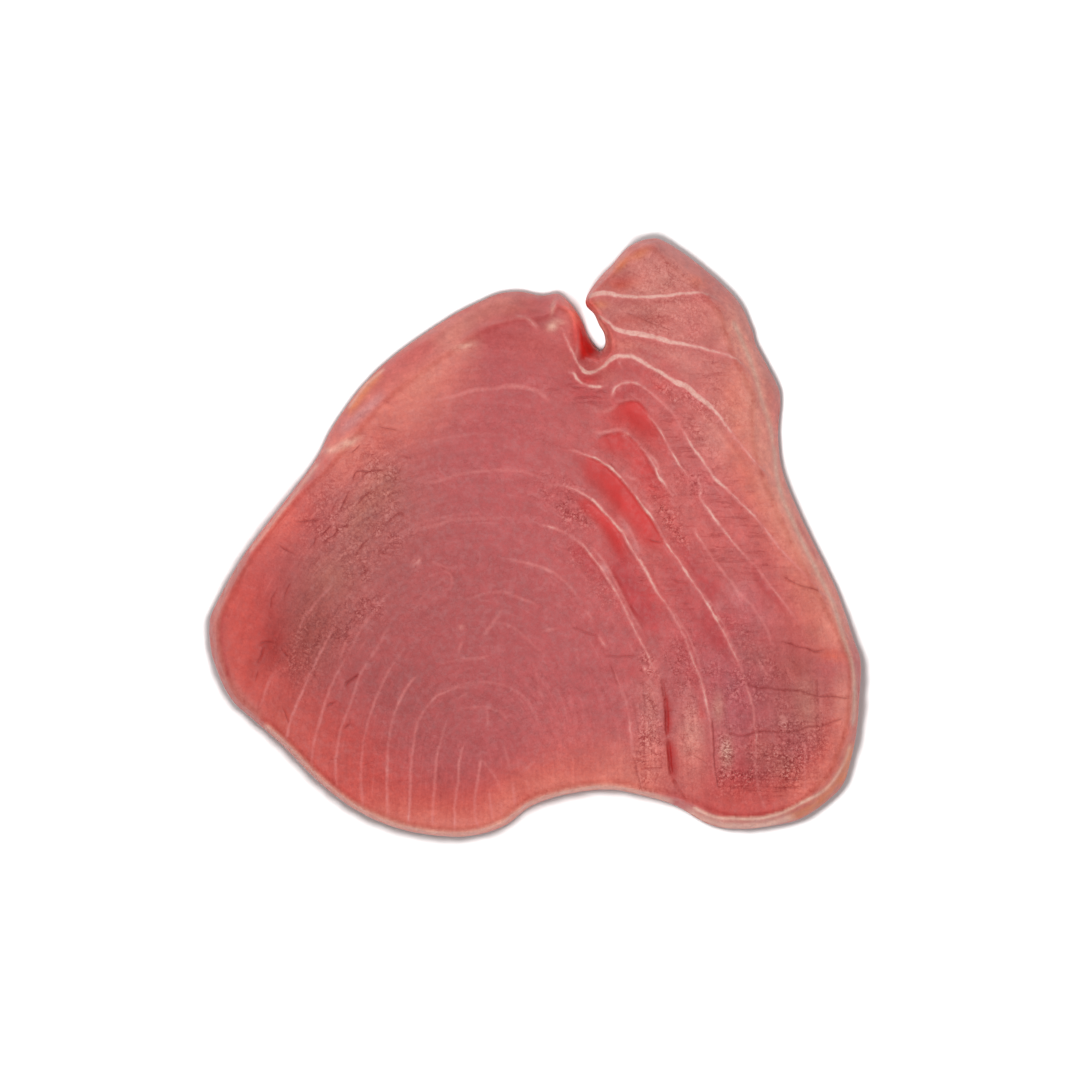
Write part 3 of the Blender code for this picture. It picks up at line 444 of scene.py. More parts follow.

# Cracks in the top face: half width, depth, darkness, and places along each. The darkness is painted shade
# inside the crack. Every darkness is raised by the gain.
CRACKS = (
    (0.24, 0.21, 0.45, ((57.2, -9.3), (59.2, -10.6), (61.4, -11.4), (63.6, -12), (65.4, -12.7))),
    (0.24, 0.24, 0.54, ((56.8, -24.3), (58.6, -24.7), (60.2, -25.4), (62.4, -25.7), (64.2, -26.5),
        (66.4, -26.1))),
    (0.28, 0.27, 0.54, ((48.6, -33.8), (51, -34.8), (53.4, -34.9), (57, -35.4), (61, -35.6), (64.8, -36.8),
        (68, -36.8), (72, -37.3))),
    (0.28, 0.24, 0.45, ((64.7, -33), (64.9, -36.8), (65.2, -38.8))),
    (0.24, 0.21, 0.45, ((44.2, -45.5), (48, -46), (50.8, -45), (55.2, -45), (59.4, -44.9), (62.2, -44),
        (66.2, -43.4), (70.4, -41.9))),
    (0.21, 0.12, 0.27, ((56.2, -57.8), (58.6, -57.7), (61, -58.1))),
    (0.21, 0.15, 0.41, ((31.4, -9.9), (33, -10.4), (35.2, -10.7))),
    (0.21, 0.12, 0.32, ((16, -27.3), (18.4, -27.7), (20.8, -27.6), (23.2, -27.6))),
    (0.21, 0.15, 0.32, ((8.6, -20.9), (11.2, -22), (14.4, -23))),
    (0.17, 0.12, 0.32, ((24.6, -33.6), (24.9, -37), (25.2, -41))),
    (0.21, 0.15, 0.36, ((17.1, -29.6), (18, -31.8), (18.8, -34.4))),
    (0.17, 0.12, 0.32, ((22.8, -51.6), (23.2, -54), (24.4, -58.4))),
    (0.24, 0.18, 0.62, ((40.6, -42), (40.9, -47), (41.1, -52.6), (41.9, -57.6))),
    (0.24, 0.15, 0.5, ((26, -0.6), (27.4, -1.1), (29, -1.2))),
    (0.24, 0.15, 0.5, ((22, -51.2), (23.5, -51.6), (26, -51.8))),
    (0.2, 0.12, 0.4, ((34.8, -50), (37.4, -51), (39.2, -52.2))),
    (0.2, 0.1, 0.32, ((20.8, 51.4), (23, 50.8), (26.4, 49.2), (30, 47.9), (31.4, 46.9))),
    (0.2, 0.12, 0.45, ((-24, 43.8), (-21.5, 44.2), (-19.5, 44.9), (-18.5, 45.3))),
    (0.24, 0.2, 0.62, ((-34.3, 3.4), (-33, 4.4), (-31.6, 5.4), (-30.4, 4.7))),
    (0.3, 0.2, 0.6, ((-34.2, 0.2), (-33.8, -0.4), (-33.6, -1.2))),
    (0.3, 0.2, 0.6, ((-36.7, -5.4), (-35.9, -5.7))),
    (0.24, 0.15, 0.5, ((-42.9, -24.1), (-42.5, -24.6))),
    (0.24, 0.15, 0.5, ((-48.9, -24.3), (-48.5, -24.9))),
    (0.2, 0.12, 0.45, ((-41.6, 11.6), (-40.4, 12.8), (-39.6, 14))),
    (0.2, 0.12, 0.45, ((-47.6, 5.2), (-46.4, 7), (-45.8, 8.6))),
    (0.2, 0.12, 0.45, ((-52, -2.6), (-51, -1), (-50.6, 0.4))),
    (0.2, 0.12, 0.45, ((-37.6, 1.8), (-36.6, 2.8), (-35.4, 3))),
    (0.2, 0.12, 0.4, ((-33, 14.2), (-31.6, 14.8), (-30.8, 16.2))),
    (0.2, 0.12, 0.4, ((-32.2, 18), (-30.6, 18.6), (-29.2, 18))),
    (0.2, 0.12, 0.45, ((-59.6, -12), (-60.8, -14), (-61.2, -16.6))),
    (0.2, 0.12, 0.45, ((-64, -31), (-64.8, -33.6))),
    (0.17, 0.12, 0.36, ((16.4, 17.1), (17.4, 16.4), (18.2, 15.4))),
    (0.17, 0.12, 0.36, ((40, -15.4), (41, -16.8), (41.8, -18.4))),
    (0.32, 0.32, 0.85, ((-43.9, -34.5), (-43.2, -33.3), (-42, -32.6), (-40.9, -31.6))),
    (0.28, 0.24, 0.75, ((-48.2, -39.3), (-47.2, -38.5), (-46.2, -38))),
    (0.28, 0.24, 0.75, ((-44.2, -44.1), (-43.4, -43.6), (-42.7, -43.2))),
    (0.28, 0.21, 0.75, ((-39.6, -52.7), (-38.6, -52.2))),
    (0.21, 0.14, 0.45, ((-47.6, -51.4), (-45.8, -51.1))),
    (0.21, 0.17, 0.6, ((-57, -43), (-57.5, -41.2), (-58.2, -39.6))),
    (0.32, 0.21, 0.68, ((-60.4, -24.6), (-62.2, -24.2), (-63.8, -25))),
    (0.32, 0.21, 0.6, ((-62.9, -25.6), (-63.5, -27.6), (-64.4, -29.2))),
    (0.28, 0.24, 0.75, ((-58.4, -26.4), (-57.6, -27.3), (-56.6, -27.6))),
    (0.24, 0.24, 0.75, ((-49.4, 0.2), (-48.3, 1.3), (-47, 2.8))),
    (0.24, 0.24, 0.75, ((-48.7, -1.9), (-48, -0.6), (-46.6, 0.2), (-45.8, 1.6), (-46.2, 2.8))),
    (0.24, 0.24, 0.68, ((-45.3, 5.6), (-44.4, 7.4), (-43.6, 9.2), (-43, 10.4))),
    (0.24, 0.21, 0.68, ((-41.3, 7.2), (-40.3, 8.4), (-39.2, 9.5), (-37.9, 10.4))),
    (0.24, 0.21, 0.68, ((-42.2, 13.2), (-41.2, 14.9), (-38.6, 15), (-35.2, 15.4))),
    (0.24, 0.21, 0.6, ((-55.2, 3.3), (-52.6, 3.6), (-50, 3.7))),
    (0.21, 0.14, 0.45, ((-46, 2.8), (-43.6, 2.4), (-42, 2.4))),
    (0.24, 0.17, 0.6, ((-42.6, 19.3), (-41.4, 20.2), (-40.4, 21.2))),
    (0.21, 0.14, 0.52, ((-36.2, 25.3), (-33.6, 24.8), (-31.6, 24.4))),
    (0.24, 0.17, 0.6, ((-59, -2.2), (-57.4, -3.2), (-55.8, -3.9))),
    (0.24, 0.17, 0.52, ((-56.4, -10.6), (-57.4, -12.4), (-58.2, -14.2))),
    (0.24, 0.21, 0.68, ((-40.6, -9), (-39.4, -8.2), (-38.4, -7.3))),
    (0.21, 0.17, 0.6, ((-41.6, -4.4), (-40.6, -2.8), (-39.6, -1.4), (-38.6, -0.8))),
    (0.28, 0.17, 0.6, ((-43.6, -24.4), (-42.6, -24.2))),
    (0.28, 0.17, 0.6, ((-38, -15.2), (-37.6, -16.4))),
    (0.24, 0.17, 0.52, ((-36.6, -3.2), (-35, -3.9), (-33.4, -3.4))),
    (0.28, 0.12, 0.27, ((-22, -7), (-19.4, -8.4), (-18.6, -9.8))),
)
CRACK_GAIN = 1.15

# The gash that opens along a layer at the lower right: half width, depth, and places along it.
GASHES = (
    (0.32, 0.7, ((29.7, -37), (29.95, -39.4), (30.05, -42), (30.1, -45.4))),
    (0.36, 0.8, ((30.4, -47), (30.6, -49.4), (30.8, -52), (31, -54.6))),
    (0.25, 0.4, ((28.9, -33), (29.4, -35.6), (29.8, -37.4))),
    (0.25, 0.4, ((31.6, -56), (33.4, -59), (34.8, -60.6))),
)
# How dark the gash is painted, as painted shade inside it.
GASH_DARKNESS = 0.20 / CRACK_GAIN

# The corners and the depth of the dark pocket beside the notch, where the left lobe dips down; its dark red
# is partly the flesh's own and partly painted shade. Then the part of the notch's wall that is painted
# lighter, as painted light: x, y, both radii, turn.
PIT = ((9.9, 48.0), (10.3, 40.6), (14.6, 42.2))
PIT_DEPTH = 0.8
NOTCH_WALL = (10.5, 48.5, 4.0, 7.0, 25.0)

# The place that the layers of the flesh arch round.
LAYER_CENTRE = (-13, -50)

# Where the surface is rough: frosty and crinkled, with pale specks that are partly painted glints; with
# fine cross wrinkles, painted darker in their folds as painted shade; or with lengthwise streaks. Each
# place is x, y, both radii, the turn in degrees where there is one, strength.
FROSTY_GLINTING = (
    (26.2, -30.4, 1.8, 4.2, 18, 1), (27, -38.6, 1.8, 2.4, 0.7), (43.8, -50.2, 1.9, 5.6, 1.25),
    (47, -56, 5.4, 3.8, 1.2), (57, -42.8, 1.8, 2.8, 20, 0.8), (57, -52, 5.6, 6, 1.25), (51, -48, 6, 6, 0.8),
    (62, -45, 6, 10, 0.55), (26, -47, 2.8, 12, 0.8), (48, -33, 9, 7, 0.6), (36, -43, 3.4, 8.4, 0.3),
    (34, -30, 5, 7, 0.5), (45, -22, 5, 7, 30, 0.3), (34, 31.6, 8.6, 2.2, -38, 1.1),
    (41.6, 31, 8, 3, -52, 0.5), (38, 24, 3, 6, 30, 0.4), (31, 4, 2.4, 9, 25, 0.8),
    (37.6, 11.8, 1.8, 3.6, 0.8), (34.4, 13.4, 2.4, 2, 0.7), (8.6, 4.6, 4.2, 3, -25, 0.9),
    (5.6, 9, 5, 4, -25, 0.5), (9, -3.4, 4, 3.2, -35, 0.5), (15.4, -12, 3, 8, 25, 0.45),
    (-41, -6, 4.4, 4.2, 40, 0.7), (-52, -21.6, 3.6, 4.4, 0.8), (-39, -16.4, 4, 3.4, 0.7),
    (-46, -22, 4, 4, 0.5), (-34, 1, 5, 6, 0.5), (-36, 14, 5, 6, 0.6), (-54, -28, 4.6, 6, 0.5),
    (-48, 4, 7, 9, -30, 0.5), (41.6, -31.4, 3.6, 3.4, 0.5), (24.6, 20, 3, 3, 0.2), (32, 50, 12, 10, 0.35),
    (30, 60, 8, 6, 0.4),
)
WRINKLED = (
    (54, -57, 9, 3.4, 0.9), (60, -44, 7, 9, 0.5), (26, -52, 4, 6, 0.6), (32, -36, 5, 6, 0.5),
    (40, 38, 5, 4, 0.6), (-40, 22, 7, 5, 0.4), (12, 33, 5, 3.4, -10, 0.8), (34, 22, 5, 9, 30, 0.7),
    (45, 8, 6, 14, 38, 0.7), (42, -2, 6, 12, 35, 0.7), (52, -6, 5, 10, 40, 0.6), (30, 8, 4, 8, 30, 0.5),
    (24.6, -9.4, 1.2, 2.4, 0.7), (33, -14, 4, 12, 28, 0.4), (3, 34, 4, 2, 0.4), (48, -22, 5, 8, 30, 0.5),
)
STREAKED = (
    (-41, 3, 9, 17, -30, 0.8), (-48, -18, 8, 12, -20, 0.6), (35.5, -44, 3, 9, 0.6), (26, -47, 4.4, 10, 0.8),
    (34, -50, 4, 9, 0.6), (46, -40, 5, 10, 0.5), (-53, -30, 6, 7, -20, 0.5), (-30, -50, 24, 12, 0.3),
    (5, -42, 14, 14, 0.3), (60, -50, 8, 8, 0.4), (30, 58, 12, 8, 0.3),
)

# The flesh's noises: waves per millimetre along x, y and z, detail, roughness.
TEXTURES = {
    "grain": ((0.75, 0.75, 0.2), 4.0, 0.6),
    "fine": ((1.5, 1.5, 0.3), 3.0, 0.6),
    "veins": ((0.42, 0.42, 0.2), 4.0, 0.6),
    "cross": ((0.20, 1.15, 0.3), 3.0, 0.6),
    "strands": ((1.1, 1.1, 0.09), 4.0, 0.65),
    "seams": ((0.10, 0.10, 0.03), 2.0, 0.4),
    "crinkle": ((0.95, 0.95, 0.3), 3.0, 0.65),
}

# The noises that follow its layers: waves per millimetre across and along them, detail, roughness.
LAYERED = {
    "fibres": (1.25, 0.10, 3.0, 0.6),
    "layers": (0.34, 0.02, 2.0, 0.5),
}

# How much each noise lightens and darkens the flesh, and how much more it does in some places.
SHADING = (
    ("grain", 0.60, {}),
    ("crinkle", 0.06, {"streak": 0.22, "frost_and_glints": 0.52}),
    ("veins", 0.45, {}),
    ("fibres", 0.26, {"streak": 1.25}),
    ("layers", 0.24, {}),
    ("strands", 0.0, {"side": 0.85}),
    ("fine", 0.38, {"frost_and_glints": 1.1, "streak": 0.55}),
)
DARKEST = (0.68, 0.34, 0.36, 1.0)
LIGHTEST = (1.32, 1.66, 1.64, 1.0)

# The flesh's other shader values. The subsurface scale is in metres.
SHADER_VALUES = {
    "IOR": 1.38,
    "Specular IOR Level": 0.35,
    "Subsurface Weight": 0.10,
    "Subsurface Radius": (1.0, 0.35, 0.25),
    "Subsurface Scale": 0.0010,
}

# In metres: the height of the flesh's bumps, how far the floor reaches to each side, and how far
# below the steak it lies.
BUMP_HEIGHT = 0.00016
FLOOR_REACH = 3.0
FLOOR_GAP = 0.0002

# The strength of the even light from all around.
SURROUND = 0.46


def catmull_rom(before, start, end, after, share):
    """The point at this share of the way from start to end, on a smooth curve through all four."""
    a, b, c, d = (np.asarray(point, float) for point in (before, start, end, after))
    slope = (c - a) / 2
    curve = a - 2.5 * b + 2 * c - d / 2
    twist = 1.5 * (b - c) + (d - a) / 2
    return b + share * (slope + share * (curve + share * twist))


def smooth_points(stations, step, closed=False):
    """Points about a step apart, in plan, on a smooth curve through the stations."""
    count = len(stations)
    points = []
    for i in range(count if closed else count - 1):
        start, end = stations[i], stations[(i + 1) % count]
        before = stations[(i - 1) % count] if closed or i > 0 else start
        after = stations[(i + 2) % count] if closed or i + 2 < count else end
        pieces = max(1, round(math.dist(start[:2], end[:2]) / step))
        points += [catmull_rom(before, start, end, after, k / pieces) for k in range(pieces)]
    if not closed:
        points.append(np.asarray(stations[-1], float))
    return np.array(points)


def left_normals(points, closed=False):
    """A unit vector at each point of a path, square to it and to its left."""
    plan = points[:, :2]
    if closed:
        along = np.roll(plan, -1, axis=0) - np.roll(plan, 1, axis=0)
    else:
        along = np.gradient(plan, axis=0)
    along /= np.linalg.norm(along, axis=1, keepdims=True)
    return np.stack([-along[:, 1], along[:, 0]], axis=1)


def wavering(stations, step):
    """Points about a step apart on a line through the stations, with a slight natural waver."""
    path = smooth_points(stations, step)
    sway = [WAVER * noise.noise(Vector((x / WAVER_SIZE, y / WAVER_SIZE, 0.5))) for x, y in path[:, :2]]
    path[:, :2] += left_normals(path) * np.array(sway)[:, None]
    return path


def smoothed(loop, passes):
    """The values round a closed loop, each averaged with its neighbours a number of times."""
    for _ in range(passes):
        loop = (np.roll(loop, 1, axis=0) + 2 * loop + np.roll(loop, -1, axis=0)) / 4
    return loop


def eased(share):
    """A share from 0 to 1, made to start and end gently."""
    return share * share * (3 - 2 * share)


def batches(indices):
    """The indices in batches small enough to compare with a whole path at once."""
    return np.array_split(indices, max(1, len(indices) // 4000))


def inside(points, loop):
    """True for each point that lies inside the closed loop, in plan."""
    x, y = points[:, 0, None], points[:, 1, None]
    x1, y1 = loop[:, 0], loop[:, 1]
    x2, y2 = np.roll(x1, -1), np.roll(y1, -1)
    rise = np.where(y1 == y2, 1.0, y2 - y1)
    result = np.zeros(len(points), bool)
    for part in batches(np.arange(len(points))):
        spans = (y1 > y[part]) != (y2 > y[part])
        crossing = x1 + (y[part] - y1) / rise * (x2 - x1)
        result[part] = np.count_nonzero(spans & (x[part] < crossing), axis=1) % 2 == 1
    return result


def distance_to(points, path, reach):
    """Each point's distance to the path's nearest place, and that place's index, within reach."""
    best = np.full(len(points), np.inf)
    nearest = np.zeros(len(points), int)
    low, high = path[:, :2].min(axis=0) - reach, path[:, :2].max(axis=0) + reach
    near = np.nonzero(((points >= low) & (points <= high)).all(axis=1))[0]
    for part in batches(near):
        gaps = points[part, None, :] - path[None, :, :2]
        square = (gaps ** 2).sum(axis=2)
        nearest[part] = square.argmin(axis=1)
        best[part] = np.sqrt(square.min(axis=1))
    return best, nearest


def from_ends(nearest, path, step):
    """How far along the path each nearest place is from the closer end."""
    return np.minimum(nearest, len(path) - 1 - nearest) * step


def spot(points, x, y, radius_x, radius_y, turn=0.0):
    """A smooth bump from 1 at the middle of an ellipse to near 0 at about twice its radii."""
    angle = math.radians(turn)
    across, up = points[:, 0] - x, points[:, 1] - y
    along = (across * math.cos(angle) + up * math.sin(angle)) / radius_x
    aside = (up * math.cos(angle) - across * math.sin(angle)) / radius_y
    return np.exp(-(along ** 2 + aside ** 2))


def spots(points, places):
    """The strongest of several bumps at each point; each place ends with its strength."""
    total = np.zeros(len(points))
    for *place, strength in places:
        total = np.maximum(total, strength * spot(points, *place))
    return total


def soft_band(points, stations, half_width):
    """1 along a line, falling smoothly to near 0 at about twice the half width and at its ends."""
    step = max(0.25, 0.25 * half_width)
    path = smooth_points(stations, step)
    gap, nearest = distance_to(points, path, 3 * half_width)
    fade = np.clip(from_ends(nearest, path, step) / (2 * half_width + 0.5), 0, 1)
    return np.exp(-(gap / half_width) ** 2) * fade


def beside(points, stations, width):
    """1 just to the right of a line, falling smoothly to 0 a width away; 0 to the left of it."""
    path = smooth_points(stations, 0.3)
    normals = left_normals(path)
    gap, nearest = distance_to(points, path, 1.1 * width)
    leftward = ((points - path[nearest, :2]) * normals[nearest]).sum(axis=1)
    weight = path[nearest, 2]
    fade = np.clip(1.5 - 1.5 * gap / (width * np.clip(0.4 + 0.6 * weight, 0.3, 1)), 0, 1)
    return eased(fade) * weight * np.clip(0.6 - leftward / 0.4, 0, 1)


def wedge(points, corners, softness):
    """1 inside corners that run anticlockwise, falling to 0 over a softness across each edge."""
    corners = np.array(corners)
    depth = np.full(len(points), np.inf)
    for start, end in zip(corners, np.roll(corners, -1, axis=0)):
        along = (end - start) / math.dist(start, end)
        depth = np.minimum(depth, (points - start) @ np.array([-along[1], along[0]]))
    return np.clip(0.5 + depth / softness, 0, 1)


def clouds(points, size, octaves=3, seed=0.0):
    """Smooth noise from about -1 to 1, at points in plan or in space, with blobs of about a size."""
    if points.shape[1] == 2:
        points = np.column_stack([points, np.zeros(len(points))])
    shift = Vector((seed, -seed, 0.7 * seed))
    return np.array([noise.fractal(Vector(p) / size + shift, 1.0, 2.0, octaves) for p in points])


def top_height(points):
    """The height of the top face, in millimetres, without its fine relief."""
    height = np.full(len(points), SWELL_LEVEL)
    for *place, rise in SWELLS:
        height += rise * spot(points, *place)
    return height


def as_seen(points):
    """Where points of the steak appear to the camera, in plan. All the marks are placed as seen."""
    return EYE + (points[:, :2] - EYE) / (1 - points[:, 2:3] / EYE_HEIGHT)


def linear(colour):
    """An sRGB colour from 0 to 255, as linear light."""
    value = np.asarray(colour, float) / 255
    return np.where(value <= 0.04045, value / 12.92, ((value + 0.055) / 1.055) ** 2.4)


def painted(name):
    """The surface colour that makes a tissue look as it should in this light."""
    return np.clip((linear(TISSUES[name]) - SHEEN) / LIT, 0.002, 1)


def wall_rings():
    """The wall's rings of points, lowest first, each with one point for each place on the outline."""
    outline = smooth_points(OUTLINE, RIM_STEP, closed=True)
    inward = -left_normals(outline, closed=True)
    lean = outline[:, 2:3]
    sharpness = np.clip(0.35 + 0.35 * lean, 0.4, 1.0)
    rim_height = top_height(outline[:, :2] + inward * (lean + 2 * SHOULDER))
    rings = []
    for start, pieces in enumerate(RING_PIECES):
        before = WALL_RINGS[max(start - 1, 0)]
        after = WALL_RINGS[min(start + 2, len(WALL_RINGS) - 1)]
        ends = WALL_RINGS[start:start + 2]
        rings += [catmull_rom(before, *ends, after, piece / pieces) for piece in range(pieces)]
    rings.append(np.asarray(WALL_RINGS[-1], float))
    result = []
    for height_share, lean_share, inset in rings:
        plan = outline[:, :2] + smoothed(inward * (lean * lean_share + inset * sharpness), 12)
        result.append(np.column_stack([plan, height_share * rim_height]))
    return result


def add_clear(chosen, cells, candidates, spacing):
    """Adds each candidate that lies at least a spacing, 1 mm at most, from every point so far."""
    for x, y in candidates:
        column, row = math.floor(x), math.floor(y)
        near = [p for i in (-1, 0, 1) for j in (-1, 0, 1) for p in cells.get((column + i, row + j), ())]
        if all((x - px) ** 2 + (y - py) ** 2 >= spacing ** 2 for px, py in near):
            chosen.append((x, y))
            cells.setdefault((column, row), []).append((x, y))


def rows_along(stations, half_width):
    """Rows of points on the top face under a line's middle, its edges and just outside them."""
    path = wavering(stations, LINE_STEP)
    normals = left_normals(path)
    weight = path[:, 2:3] if path.shape[1] > 2 else 1.0
    rows = [path[:, :2]]
    for extra in (0, ROW_GAP):
        for side in (1, -1):
            rows.append(path[:, :2] + side * normals * (np.maximum(half_width * weight, LEAST_ROW) + extra))
    return [EYE + (row - EYE) * (1 - SWELL_LEVEL / EYE_HEIGHT) for row in rows]


def hex_grid(step):
    """Points of an even triangular grid over the whole steak."""
    row_step = step * math.sqrt(3) / 2
    rows = np.arange(-round(GRID_DEPTH / row_step), round(GRID_DEPTH / row_step) + 1)
    columns = np.arange(-round(GRID_WIDTH / step), round(GRID_WIDTH / step) + 1)
    x = columns[None, :] * step + (rows[:, None] % 2) * step / 2
    y = np.broadcast_to(rows[:, None] * row_step, x.shape)
    return np.column_stack([x.ravel(), y.ravel()])


def kept_inside(points, rim, margin):
    """The points that lie inside the rim and further than a margin from it."""
    points = points[inside(points, rim)]
    gap, _ = distance_to(points, rim, margin)
    return points[gap > margin]


def top_points(rim):
    """The points of the top face inside its rim: rows along every line first, then a grid."""
    chosen, cells = [], {}
    lines = [(stations, half_width) for half_width, _, stations in GASHES]
    lines += [(stations, width / 2) for width, _, stations in MEMBRANES]
    lines += [(stations, half_width) for half_width, _, _, stations in CRACKS]
    row_sets = [rows_along(stations, half_width) for stations, half_width in lines]
    for level, spacing in enumerate(ROW_SPACING):
        for rows in row_sets:
            add_clear(chosen, cells, rows[level], spacing)
    add_clear(chosen, cells, hex_grid(TOP_STEP), 0.62 * TOP_STEP)
    return kept_inside(np.array(chosen), rim, 0.3)


def faces_over(loop, inner_points):
    """Triangles that fill the loop and use every inner point, as indices into loop + inner_points."""
    flat = [Vector(point) for point in loop[:, :2]] + [Vector(point) for point in inner_points]
    edges = [(i, (i + 1) % len(loop)) for i in range(len(loop))]
    filled = delaunay_2d_cdt(flat, edges, [], 1, 1e-6)
    sources = filled[3]
    return np.array([[sources[corner][0] for corner in face] for face in filled[2]])


def membrane_field(points):
    """How much membrane shows at each point, from 0 to 1, with uneven edges and a faint pale halo."""
    uneven = 0.10 * clouds(points, 0.9, 2, 4.0)
    waxing = np.clip(0.90 + 0.35 * clouds(points, 3.0, 2, 8.0), 0.45, 1.15)
    field = np.zeros(len(points))
    for width, paleness, stations in MEMBRANES:
        path = wavering(stations, MARK_STEP)
        gap, nearest = distance_to(points, path, 2.4)
        weight = path[nearest, 2]
        half = np.maximum(0.5 * width * weight, 0.12) + 0.05
        ends = np.clip(0.2 + from_ends(nearest, path, MARK_STEP) / 2.0, 0, 1)
        strength = 1.2 * paleness * np.clip(0.15 + 0.85 * weight, 0, 1.15) * ends
        profile = eased(np.clip(1 - (gap + uneven - 0.4 * half) / (1.3 * half), 0, 1)) * waxing
        halo = 0.16 * paleness * np.exp(-(gap / 0.9) ** 2)
        field = np.maximum(field, strength * np.maximum(profile, halo))
    return np.clip(field, 0, 1)


def line_dip(points, stations, half_width):
    """1 along a crack's middle, falling to 0 a little beyond its half width."""
    path = wavering(stations, MARK_STEP)
    gap, nearest = distance_to(points, path, 2 * half_width + 1.0)
    profile = np.clip(1.15 - gap / (0.5 * half_width + 0.13), 0, 1)
    return eased(profile) * np.clip(0.25 + from_ends(nearest, path, MARK_STEP) / 1.2, 0, 1)


def crack_field(points):
    """How dark the cracks are painted at each point, as painted shade inside them, and how deep, in
    millimetres.
    """
    dark = np.zeros(len(points))
    deep = np.zeros(len(points))
    gashes = [(half_width, depth, GASH_DARKNESS, stations) for half_width, depth, stations in GASHES]
    for half_width, depth, darkness, stations in [*CRACKS, *gashes]:
        dip = line_dip(points, stations, half_width)
        dark = np.maximum(dark, min(1.0, CRACK_GAIN * darkness) * dip)
        deep = np.maximum(deep, depth * dip)
    return dark, deep


def tinted(colour, name, weight):
    """The colours moved towards a tissue by the weight at each point."""
    return colour + weight[:, None] * (painted(name) - colour)


def tissue_colour(points, rim_share):
    """The colour of the flesh at each point, without lines; rim_share fades the bands of the rim."""
    colour = np.tile(painted("mauve"), (len(points), 1))
    for name, *place, strength in FIELDS:
        colour = tinted(colour, name, strength * spot(points, *place))
    for name, half_width, strength, stations in BANDS:
        colour = tinted(colour, name, strength * soft_band(points, stations, half_width))
    for name, *place, strength in PATCHES:
        colour = tinted(colour, name, strength * spot(points, *place))
    # The flesh is painted redder and darker just to the right of every membrane that shows clearly: partly
    # its own tone there and partly painted shade, where each layer dips under the next.
    for _, paleness, stations in MEMBRANES:
        if paleness > CLEARLY_PALE:
            colour = tinted(colour, "wine", 0.35 * paleness * beside(points, stations, 3.2))
    # The hollows and the gash are tinted partly with the flesh's own deeper red and partly with painted
    # shade.
    for name, width, strength, _, stations in HOLLOWS:
        colour = tinted(colour, name, strength * beside(points, stations, width))
    for name, half_width, strength, stations in RIM_BANDS:
        colour = tinted(colour, name, strength * rim_share * soft_band(points, stations, half_width))
    # The pocket's dark red is partly the flesh's own colour and partly painted shade.
    return tinted(colour, "pit", 0.95 * wedge(points, PIT, 0.9))


def layer_places(points):
    """Where each point lies among the arching layers: across them, and along them, in millimetres."""
    x = points[:, 0] - LAYER_CENTRE[0]
    y = points[:, 1] - LAYER_CENTRE[1]
    # Below the centre, the layers run straight down.
    y = (y + np.sqrt(y * y + 100)) / 2
    return np.hypot(x, y / 1.25), 30 * np.arctan2(y, x)


def fine_relief(points, membranes, depth):
    """The height that the fine relief adds to the top face, in millimetres."""
    relief = 0.10 * membranes - depth
    for _, width, _, sink, stations in HOLLOWS:
        relief -= sink * beside(points, stations, width)
    relief -= PIT_DEPTH * wedge(points, PIT, 1.6)
    across, along = layer_places(points)
    layered = np.column_stack([across, 0.12 * along])
    relief += 0.14 * clouds(points, 7.0) + 0.07 * clouds(layered, 2.6, 2, 1.0)
    return relief + (0.03 + 0.10 * spots(points, FROSTY_GLINTING)) * clouds(points, 1.4, 2, 5.0)


def wall_relief(points, along, height_share):
    """How far the wall stands out, in millimetres: bulging layers, grooves and a little unevenness."""
    wave = along / LAYER_SPACING + 0.9 * clouds(points, 22.0, 2, 3.0) + 0.05 * points[:, 2]
    groove = np.abs(np.sin(math.pi * wave)) ** 0.6
    fade = min(max(min(2.5 * height_share - 0.9, 4 - 4 * height_share), 0.12), 1)
    return fade * (0.38 * (groove - 0.8) + 0.22 * clouds(points, 5.0, 3, 9.0))


def roughen_wall(rings):
    """Moves the points of every ring but the lowest and the highest out or in by the wall's relief."""
    outward = left_normals(rings[0], closed=True)
    steps = np.linalg.norm(np.roll(rings[0], -1, axis=0) - rings[0], axis=1)
    along = np.concatenate([[0], np.cumsum(steps)[:-1]])
    for level, ring in enumerate(rings[1:-1], 1):
        bulge = wall_relief(ring, along, level / (len(rings) - 1))
        ring[:, :2] += outward * bulge[:, None]


def steak_faces(rings, upper, under):
    """The wall's quads, and the triangles of both cut faces, as indices into the mesh's points."""
    count = len(rings[0])
    level = np.arange(len(rings) - 1)[:, None] * count
    i = np.arange(count)[None, :]
    j = (i + 1) % count
    quads = np.stack([level + i, level + count + i, level + count + j, level + j], axis=-1).reshape(-1, 4)
    wall_size = len(rings) * count
    top_faces = faces_over(rings[-1], upper)
    top_faces = top_faces + wall_size - count
    low_faces = faces_over(rings[0], under)
    low_faces = np.where(low_faces < count, low_faces, low_faces - count + wall_size + len(upper))
    return quads, np.concatenate([top_faces, low_faces[:, ::-1]])


